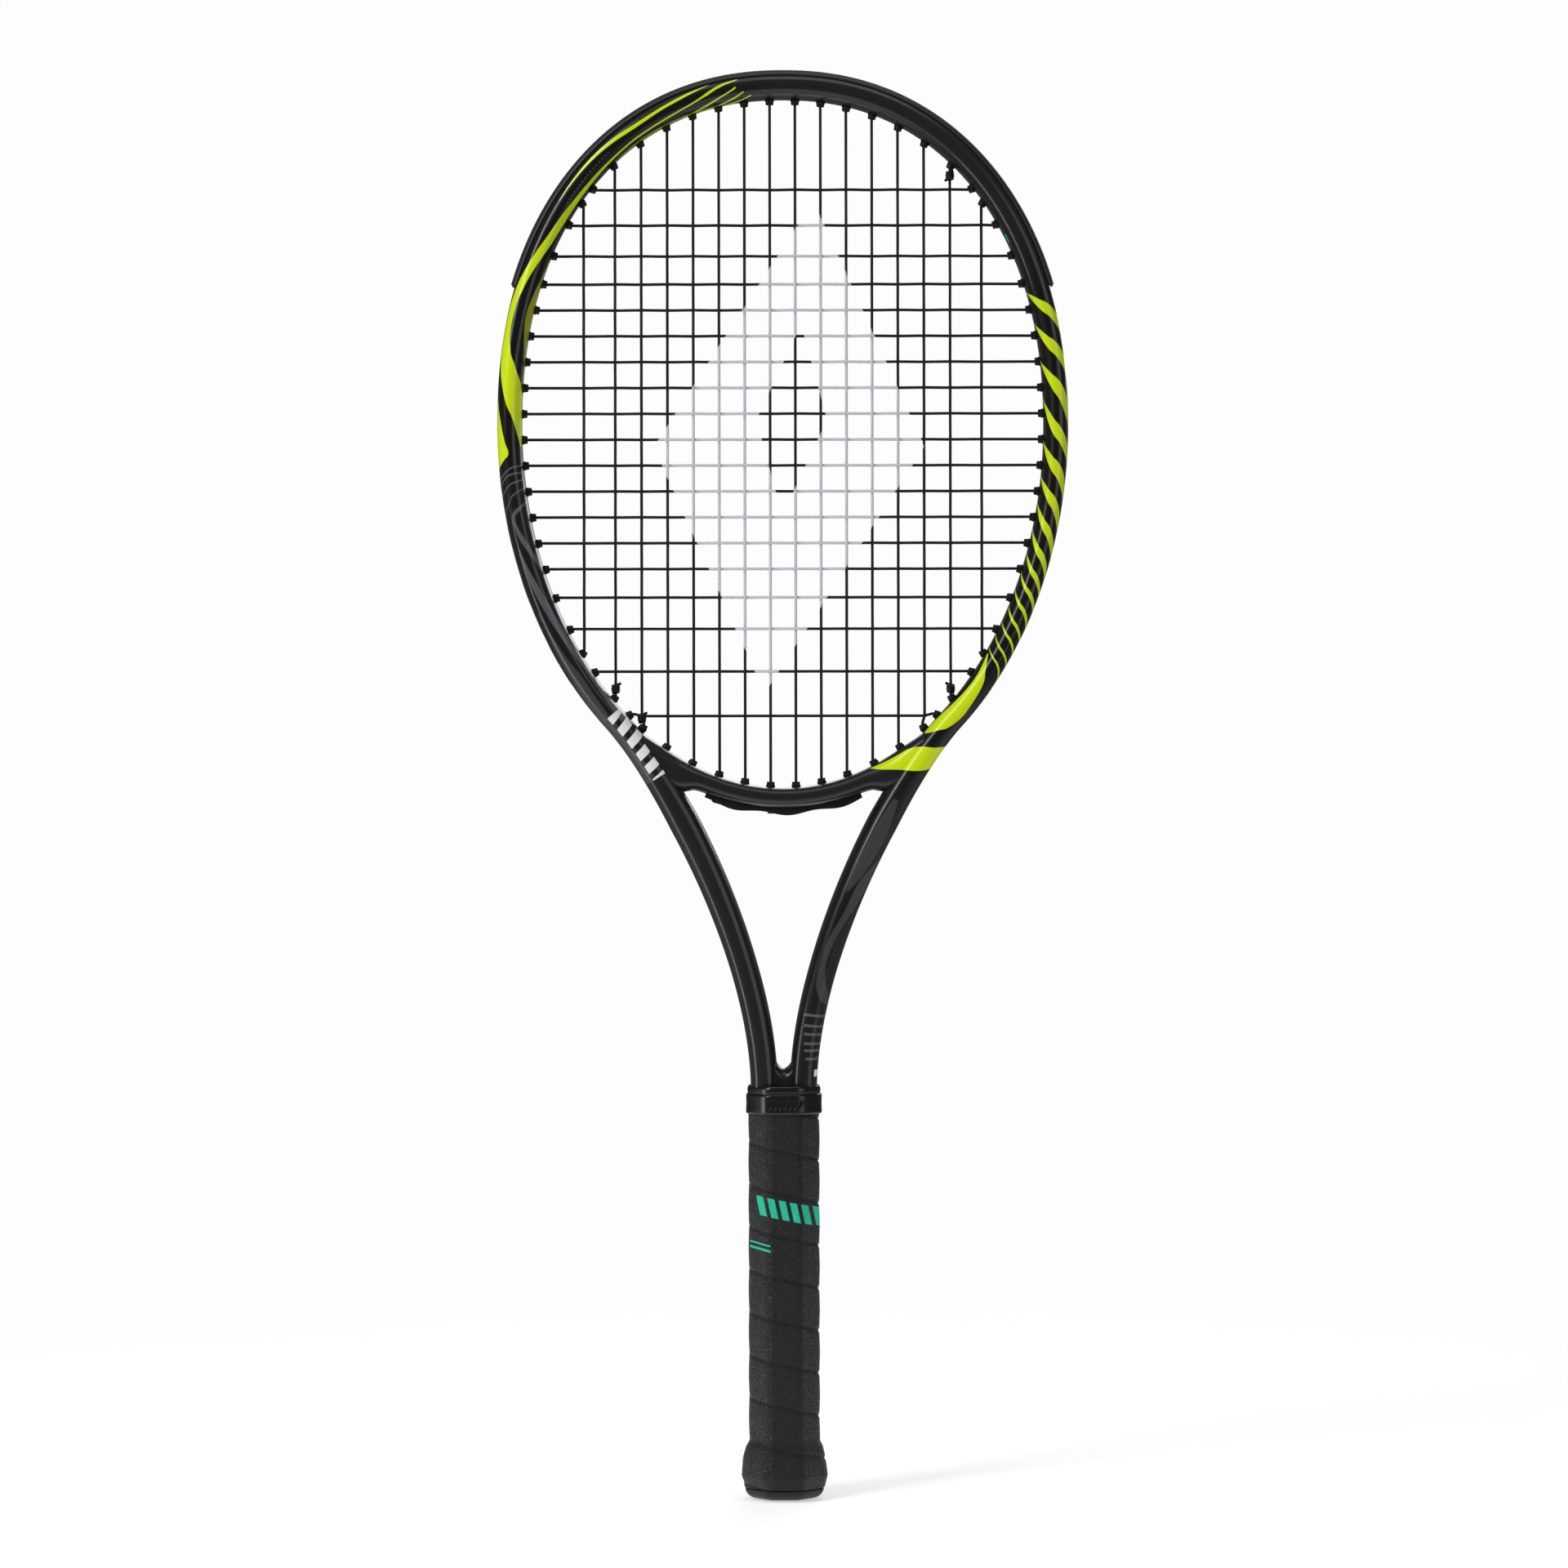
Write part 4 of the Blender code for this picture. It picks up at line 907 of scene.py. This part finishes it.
def string(name, points, radius, stands_for=()):
    """A round string along points in millimetres."""
    line = bpy.data.curves.new(name, "CURVE")
    line.dimensions = "3D"
    line.bevel_depth = radius * MM
    line.bevel_resolution = 2
    line.use_fill_caps = True
    run = line.splines.new("POLY")
    run.points.add(len(points) - 1)
    for spot, point in zip(run.points, points):
        spot.co = (*[part * MM for part in point], 1.0)
    made = bpy.data.objects.new(name, line)
    bpy.context.scene.collection.objects.link(made)
    line.materials.append(string_paint.material)
    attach(made, "racket")
    if stands_for:
        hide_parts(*stands_for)


mains = []
for number in range(2 * MAINS_EACH_SIDE):
    i, side = counted(number)
    run = [flat(low_holes[i].tip(), 0, side)]
    for j in reversed(range(len(cross_z))):
        if crosses_main(i, j):
            run.append((side * main_x[i], WEAVE * (-1) ** (number + j), cross_z[j]))
    run = woven(run + [flat(top_holes[i].tip(), 0, side)])
    going_up = number % 2 == 0
    mains += run if going_up else run[::-1]
    holes = top_holes if going_up else low_holes
    if number == 0:
        mains = entry(low_holes[i], side)[::-1] + mains
    if number == 2 * MAINS_EACH_SIDE - 1:
        mains += entry(low_holes[i], side)
    elif number == MAINS_EACH_SIDE - 1:
        out = entry(holes[i])[:2] + [flat(holes[i].lane)]
        mains += [(-a, b, c) for a, b, c in out] + out[::-1]
    else:
        mains += lane(holes[i], holes[i + side], GROOVE_LANE, side)
string("woven_mains", mains, STRING_RADIUS, ["main_string"])

crosses = entry(cross_holes[0])[::-1]
side = 1
for j, at in enumerate(cross_holes):
    run = [flat(at.tip(), 0, side)]
    for number in range(2 * MAINS_EACH_SIDE)[:: -side]:
        i, way = counted(number)
        if crosses_main(i, j):
            run.append((way * main_x[i], -WEAVE * (-1) ** (number + j), cross_z[j]))
    side = -side
    crosses += woven(run + [flat(at.tip(), 0, side)])
    if j + 1 < len(cross_holes):
        crosses += lane(at, cross_holes[j + 1], -GROOVE_LANE, side)
    else:
        crosses += entry(at, side)
string("woven_crosses", crosses, STRING_RADIUS, ["cross_string"])

# Knots: the loose end of each string is tied off round its neighbour, tight against a barrel.
# Each is a few close turns of the same string, with its cut end left pointing out.
KNOTS = [(6, "top", 1), (6, "low", 1), (6, "low", -1), (5, "low", -1)]
KNOT_RADIUS = 1.2
KNOT_TURNS = 3.5
KNOT_STEPS = 14
KNOT_RISE = 1.15
LOOSE_END = [(-0.9, -0.7, 0.4), (0.6, -1.7, -0.6), (2.4, -1.5, -1.0)]

for number, (i, end, side) in enumerate(KNOTS):
    holes, way = (top_holes, -1) if end == "top" else (low_holes, 1)
    start = (main_x[i], holes[i].tip()[1])
    points = []
    for step in range(round(KNOT_TURNS * KNOT_STEPS) + 1):
        round_at = 2 * math.pi * step / KNOT_STEPS
        reach = 0.3 + KNOT_RISE * step / KNOT_STEPS
        swell = KNOT_RADIUS + 0.35 * math.sin(math.pi * step / (KNOT_TURNS * KNOT_STEPS))
        across = start[0] + swell * math.cos(round_at)
        points.append((side * across, swell * math.sin(round_at), start[1] + way * reach))
    last = points[-1]
    points += [(last[0] + a * side, last[1] + b, last[2] + c * way) for a, b, c in LOOSE_END]
    string(f"knot_{number + 1}", points, STRING_RADIUS)

# Grip: a band of grey-black synthetic leather wound up the foam handle in one long helix.
# Each turn butts against the last along a sunk seam, and its face is pressed with a fine grain.
GRIP_HALF_X = 17.0
SHALLOWER_BY = 2.0
CORNER_CUT = 0.54
GRIP_THICKNESS = 1.7
GRIP_BOTTOM_Z, GRIP_TOP_Z = 5.6, 187.6
GRIP_PITCH = 20.4
SEAT_Z = (6.0, 11.4, 19.0, 24.0, 27.0)
SEAT_HALF_X = (17.7, 19.0, 18.2, 16.9, 15.3)
SEAM_OFFSET = 3.6
SEAM_HALF_WIDTH = 0.045
SEAM_DEPTH = 0.7
ROUND_POINTS = 112


def handle_ring(half_x, z, count, crispness=26, offset=None):
    """A ring round the handle: an octagon with rounded corners."""
    half_y = half_x - SHALLOWER_BY
    slant = (half_x + half_y - CORNER_CUT * half_x) / math.sqrt(2)
    ring = []
    for round_at in circle(count):
        total = 0.0
        for facing in range(8):
            away = (half_x, slant, half_y, slant)[facing % 4]
            total += max(math.cos(round_at - facing * math.pi / 4) / away, 0) ** crispness
        radius = total ** (-1 / crispness) + (offset(round_at, z) if offset else 0.0)
        ring.append((radius * math.cos(round_at), radius * math.sin(round_at), z))
    return ring


def wound(round_at, z):
    """How far the wound band stands in at its seams."""
    count = (z - SEAM_OFFSET) / GRIP_PITCH + (round_at + math.pi / 2) / (2 * math.pi)
    away = abs(count - round(count))
    belly = 0.12 * math.cos(2 * math.pi * count)
    return -SEAM_DEPTH * math.exp(-((away / SEAM_HALF_WIDTH) ** 2)) - belly


def grip_half_x(z):
    seat = float(np.interp(z, SEAT_Z, SEAT_HALF_X)) + GRIP_THICKNESS
    return max(GRIP_HALF_X, seat) if z < 30 else GRIP_HALF_X


leather = Finish("grip_leather", Specular_IOR_Level=0.3, Sheen_Weight=0.12, Sheen_Roughness=0.5)
spot, x, y, z = leather.place()
inputs = {"Vector": spot, "Scale": 820.0, "Randomness": 1.0}
cells = leather.node("ShaderNodeTexVoronoi", {"feature": "DISTANCE_TO_EDGE"}, inputs, "Distance")
pebble = (cells * 2.2).lower(0.6)
fine = leather.noise(spot, 2400.0, 3.0)
cloud = leather.noise(spot, 90.0, 4.0, 0.6)
seam = leather.attribute("seam")
ahead = 0.0 - y
# Painted light: the facets beside the front face are painted lighter, as sides lit by the lamps.
wear_and_lit_sides = 1 - x.between(-6.3, 9.4, 1.0) * ahead.over(10.0, 0.5)
base = leather.mix(tone(6, 4, 7), tone(14, 11, 15), cloud)
base = leather.mix(base, tone(38, 35, 40), wear_and_lit_sides * 0.6)
# Painted glints: lighter specks painted on as highlights, most of them on the lit side facets.
painted_glints = leather.noise(spot, 900.0, 3.0, 0.7).over(0.58, 0.06)
base = leather.mix(base, tone(120, 116, 122), painted_glints * (0.06 + 0.4 * wear_and_lit_sides))
base = leather.mix(tone(9, 8, 10), base, (cells * 6.0).clipped())
base = leather.mix(base, tone(2, 2, 2), seam)
slope = z + 0.2 * x
bars = (x + 0.22 * (slope - 139.0)) / 5.4
bars = bars.off_whole().under(0.33, 0.03) * x.over(-13.2, 0.2)
row = bars * slope.between(134.4, 143.6, 0.25) * ahead.over(2.0, 0.5)
dash = slope.between(117.6, 118.9, 0.15) + slope.between(120.2, 121.2, 0.15)
dash = dash * x.between(-16.5, -6.5, 0.2) * ahead.over(4.0, 0.5)
leather.give("Base Color", leather.mix(base, TEAL, (row + dash).clipped() * (1 - 0.8 * seam)))
leather.give("Roughness", 0.4 + 0.2 * cloud)
leather.bump(pebble * 0.7 + fine * 0.3, 1.0, 0.0006)

shape = bmesh.new()
seam_layer = shape.verts.layers.float.new("seam")
inner_lip = handle_ring(grip_half_x(GRIP_BOTTOM_Z) - 1.2, GRIP_BOTTOM_Z, ROUND_POINTS)
rings = [inner_lip, handle_ring(grip_half_x(GRIP_BOTTOM_Z) - 0.3, GRIP_BOTTOM_Z, ROUND_POINTS)]
for level in np.linspace(GRIP_BOTTOM_Z + 0.3, GRIP_TOP_Z, 300):
    rings.append(handle_ring(grip_half_x(level), level, ROUND_POINTS, offset=wound))
rings.append(handle_ring(GRIP_HALF_X - 1.2, GRIP_TOP_Z, ROUND_POINTS))
for ring in draw_through(shape, rings):
    for vert in ring:
        round_at = math.atan2(vert.co.y, vert.co.x) % (2 * math.pi)
        count = (vert.co.z / MM - SEAM_OFFSET) / GRIP_PITCH + (round_at + math.pi / 2) / (2 * math.pi)
        vert[seam_layer] = math.exp(-(((count - round(count)) / 0.03) ** 2))
piece("wound_grip", shape, leather, stands_for=["grip"], sharp=80)

# Butt cap: a moulded cup of black plastic under the handle, stapled to the foam.
# Its edge is rounded, and a small trapdoor in its floor opens on the hollow where weight is added.
DOOR_HALF_X = 6.5
OPENING_Y = (-5.0, 6.9)
CAP_FLOOR_Z = 3.2
CAP_TOP_Z = 24.0
CAP_POINTS = 96

cap_plastic = Finish("cap_plastic", Specular_IOR_Level=0.4)
spot, x, y, z = cap_plastic.place()
grain = cap_plastic.noise(spot, 1300.0, 3.0)
rub = cap_plastic.noise(spot, 70.0, 5.0, 0.65)
scuffed = rub.over(0.58, 0.1) * ((4.0 - z) / 4.0).clipped()
cap_plastic.give("Base Color", cap_plastic.mix(tone(13, 12, 14), tone(44, 44, 46), scuffed * 0.5))
cap_plastic.give("Roughness", 0.38 + 0.18 * rub + 0.15 * scuffed)
cap_plastic.bump(grain * 0.6 - scuffed * 0.6, 0.3, 0.00012)


def opening_ring(grow, z):
    """The trapdoor's opening as a ring: a rectangle with rounded corners."""
    low, high = OPENING_Y
    half_x, half_y, middle = DOOR_HALF_X + 0.4 + grow, (high - low) / 2 + grow, (low + high) / 2
    ring = []
    for round_at in circle(CAP_POINTS):
        a, b = math.cos(round_at), math.sin(round_at)
        radius = ((abs(a) / half_x) ** 16 + (abs(b) / half_y) ** 16) ** (-1 / 16)
        ring.append((radius * a, radius * b + middle, z))
    return ring


seat = [(float(np.interp(z, SEAT_Z, SEAT_HALF_X)) - 0.95, z) for z in (5.4, 11.4, 19.0, CAP_TOP_Z)]
rings = [opening_ring(0.0, CAP_FLOOR_Z), opening_ring(0.0, 0.25), opening_ring(0.25, 0.0)]
rings += [opening_ring(1.6, 0.0), opening_ring(1.8, 0.35), opening_ring(2.3, 0.35), opening_ring(2.5, 0.0)]
for half_x, level in ((10.6, 0.0), (13.6, 0.15), (15.9, 0.8), (17.5, 1.9), (18.5, 3.3), (18.85, 4.4)):
    rings.append(handle_ring(half_x, level, CAP_POINTS))
rings.append(handle_ring(18.6, 5.1, CAP_POINTS))
rings += [handle_ring(half_x, level, CAP_POINTS) for half_x, level in seat]
for half_x, level in ((15.3, CAP_TOP_Z), (15.3, 9.5), (12.2, 9.5), (12.2, CAP_FLOOR_Z)):
    rings.append(handle_ring(half_x, level, CAP_POINTS))
shape = bmesh.new()
draw_through(shape, rings, "joined")
piece("cap_cup", shape, cap_plastic, stands_for=["butt_cap"], sharp=50)

# Trapdoor: a small lid of the same plastic that swings down on its two moulded pins.
# It has a finger notch at its free edge and snaps shut flush with the cap.
HINGE_Y, HINGE_Z = 4.9, 1.6
DOOR_FREE_Y = -4.6
DOOR_BOTTOM_Z, DOOR_TOP_Z = 0.3, 1.9
DOOR_RIM, DOOR_STEP, DOOR_RECESS = 1.3, 0.2, 0.25
PIN_RADIUS, PIN_HALF_LENGTH = 0.8, 8.1
LEAST_FLOOR_AREA = 2e-5

shape = bmesh.new()
bmesh.ops.create_cube(shape, size=1.0)
for vert in shape.verts:
    across = math.copysign(DOOR_HALF_X, vert.co.x)
    deep = DOOR_FREE_Y if vert.co.y < 0 else HINGE_Y + 0.2
    vert.co = Vector((across, deep, DOOR_BOTTOM_Z if vert.co.z < 0 else DOOR_TOP_Z)) * MM
bevelled(shape, shape.edges, 0.3, 3)
floor_faces = [face for face in shape.faces if face.normal.z < -0.99]
bmesh.ops.inset_region(shape, faces=floor_faces, thickness=DOOR_RIM * MM, depth=0.0)
floor_faces = [f for f in shape.faces if f.normal.z < -0.99 and f.calc_area() > LEAST_FLOOR_AREA]
bmesh.ops.inset_region(shape, faces=floor_faces, thickness=DOOR_STEP * MM, depth=-DOOR_RECESS * MM)
turned = Matrix.Translation((0, HINGE_Y * MM, HINGE_Z * MM)) @ Matrix.Rotation(math.pi / 2, 4, "Y")
pin = {"radius1": PIN_RADIUS * MM, "radius2": PIN_RADIUS * MM, "depth": 2 * PIN_HALF_LENGTH * MM}
bmesh.ops.create_cone(shape, cap_ends=True, segments=24, matrix=turned, **pin)
piece("door_leaf", shape, cap_plastic, "trapdoor", ["butt_cap_door"], sharp=35)

# Collar: a stretched rubber ring over the top of the grip, with a lip at each end.
# A row of slanting bars is moulded on its band.
COLLAR_WALL = [(17.35, 185.0), (17.8, 184.85), (18.1, 185.1), (18.28, 185.7), (18.2, 187.2)]
COLLAR_WALL += [(18.12, 189.5), (18.18, 192.2), (18.22, 193.3), (18.08, 193.9), (17.7, 194.25)]
COLLAR_WALL += [(17.35, 194.45), (17.38, 194.9), (17.55, 195.5), (17.6, 196.4), (17.45, 197.3)]
COLLAR_WALL += [(17.1, 198.0), (16.75, 198.25), (16.4, 198.0), (16.4, 195.2), (16.95, 194.9)]
COLLAR_WALL += [(16.95, 188.6), (17.35, 188.4)]
BAR_COUNT, BAR_PITCH, BAR_WIDTH, BAR_HEIGHT, BAR_SLANT = 7, 2.4, 1.2, 4.6, 0.9
FIRST_BAR_X, BARS_Y, BARS_Z = -6.0, -16.2, 189.3

rubber = Finish("collar_rubber", Specular_IOR_Level=0.5)
spot, x, y, z = rubber.place()
bloom = rubber.noise(spot, 160.0, 4.0, 0.6)
rubber.give("Base Color", rubber.mix(tone(10, 10, 11), tone(24, 23, 25), bloom))
rubber.give("Roughness", 0.17 + 0.16 * bloom)
rubber.bump(rubber.noise(spot, 700.0, 3.0), 0.1, 0.0001)

shape = bmesh.new()
draw_through(shape, [handle_ring(half_x, level, 96, 18) for half_x, level in COLLAR_WALL], "joined")
for bar in range(BAR_COUNT):
    made = bmesh.ops.create_cube(shape, size=1.0)["verts"]
    for vert in made:
        x, y, z = vert.co
        across = FIRST_BAR_X + BAR_PITCH * bar + 2 * BAR_SLANT * z + BAR_WIDTH * x
        vert.co = Vector((across, BARS_Y + 0.5 * y, BARS_Z + BAR_HEIGHT * z)) * MM
    edges = {edge for vert in made for edge in vert.link_edges}
    bevelled(shape, edges, 0.12, 2)
piece("collar_ring", shape, rubber, stands_for=["rubber_collar"], sharp=50)

# Hidden parts keep their plain solids: foam pallet halves, steel staples and the finishing tape.
# They lie under the grip, the cap and the collar, so only their finish is worked out.
foam = Finish("handle_foam", Specular_IOR_Level=0.3)
spot, x, y, z = foam.place()
inputs = {"Vector": spot, "Scale": 900.0}
bubbles = foam.node("ShaderNodeTexVoronoi", {}, inputs, "Distance")
foam.give("Base Color", foam.mix(tone(120, 112, 100), tone(88, 82, 74), bubbles))
foam.give("Roughness", 0.75 + 0.2 * foam.noise(spot, 200.0))
foam.bump(bubbles, 0.5, 0.0003)

steel = Finish("staple_steel", Metallic=1.0)
spot, x, y, z = steel.place()
drawn = steel.noise(steel.stretched(spot, (80.0, 2200.0, 2200.0)), 1.0, 3.0)
steel.give("Base Color", steel.mix(tone(190, 190, 188), tone(142, 142, 140), drawn))
steel.give("Roughness", 0.28 + 0.2 * drawn)

tape = Finish("finishing_tape", Specular_IOR_Level=0.35)
spot, x, y, z = tape.place()
creases = tape.noise(tape.stretched(spot, (200.0, 200.0, 1400.0)), 1.0, 3.0)
tape.give("Base Color", tape.mix(tone(26, 26, 27), tone(44, 44, 45), creases))
tape.give("Roughness", 0.45 + 0.2 * creases)
tape.bump(creases, 0.3, 0.0002)

hidden = {"pallet_front": foam, "pallet_back": foam, "staple_front": steel, "staple_back": steel}
for name, finish in {**hidden, "finishing_tape": tape}.items():
    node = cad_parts[name]
    node.data.materials.clear()
    node.data.materials.append(finish.material)

# Studio: a plain pale floor, a pale surround, large soft lamps and a long lens at mid height.
# The floor fades out before its edge, and it can be seen through from below.
CAMERA_AWAY = 2.2
SEEN_WIDTH = 0.7541
SEEN_MIDDLE_Z = 0.3429
FLOOR_RADIUS, FLOOR_FADES_FROM, FLOOR_GONE_AT = 0.9, 0.25, 0.85

floor_paint = Finish("studio_floor", Roughness=0.9, Specular_IOR_Level=0.1)
floor_paint.shader.inputs["Emission Strength"].default_value = 0.55
spot, x, y, z = floor_paint.place()
away = floor_paint.node("ShaderNodeVectorMath", {"operation": "LENGTH"}, {0: spot}, "Value")
for name, scale, shade in (("Base Color", 3.0, 232), ("Emission Color", 2.0, 236)):
    cloud = floor_paint.noise(spot, scale)
    floor_paint.give(name, floor_paint.mix(WHITE, tone(shade, shade, shade + 2), cloud))
below = floor_paint.node("ShaderNodeNewGeometry", {}, {}, "Backfacing")
fade = away.under(FLOOR_GONE_AT, FLOOR_GONE_AT - FLOOR_FADES_FROM)
floor_paint.give("Alpha", fade * (1 - below))
shape = bmesh.new()
bmesh.ops.create_circle(shape, cap_ends=True, segments=96, radius=FLOOR_RADIUS)
mesh = bpy.data.meshes.new("studio_floor")
shape.to_mesh(mesh)
shape.free()
mesh.materials.append(floor_paint.material)
floor = bpy.data.objects.new("studio_floor", mesh)
bpy.context.scene.collection.objects.link(floor)
floor.location.z = -0.0004

world = bpy.data.worlds.new("studio_air")
bpy.context.scene.world = world
world.use_nodes = True
air = world.node_tree.nodes["Background"].inputs
seen = world.node_tree.nodes.new("ShaderNodeLightPath").outputs["Is Camera Ray"]
shade = world.node_tree.nodes.new("ShaderNodeMapRange")
shade.inputs["To Min"].default_value, shade.inputs["To Max"].default_value = 0.1, 0.98
world.node_tree.links.new(seen, shade.inputs["Value"])
world.node_tree.links.new(shade.outputs["Result"], air["Strength"])
air["Color"].default_value = (1.0, 1.0, 1.0, 1.0)
bpy.context.scene.view_settings.view_transform = "Standard"


def lamp(name, place, size, strength):
    """A square soft box that faces the middle of the racket."""
    light = bpy.data.lights.new(name, "AREA")
    light.energy, light.shape, light.size, light.size_y = strength, "RECTANGLE", *size
    made = bpy.data.objects.new(name, light)
    bpy.context.scene.collection.objects.link(made)
    made.location = place
    made.rotation_euler = (Vector((0, 0, 0.4)) - Vector(place)).to_track_quat("-Z", "Y").to_euler()


lamp("key_box", (-1.3, -1.2, 1.5), (0.6, 1.3), 20.0)
lamp("fill_box", (1.5, -1.2, 0.7), (1.4, 1.8), 9.0)
lamp("top_box", (0.1, -0.3, 2.3), (1.8, 1.2), 8.0)
lamp("back_box", (0.4, 1.8, 1.2), (1.4, 1.0), 12.0)
lamp("low_strip", (-0.85, -0.25, 0.12), (0.16, 0.5), 1.8)

view = bpy.data.cameras.new("camera")
view.lens = view.sensor_width * CAMERA_AWAY / SEEN_WIDTH
camera = bpy.data.objects.new("camera", view)
bpy.context.scene.collection.objects.link(camera)
camera.location = (0.0003, -CAMERA_AWAY, SEEN_MIDDLE_Z)
camera.rotation_euler = (math.pi / 2, math.radians(0.1), 0)
bpy.context.scene.camera = camera
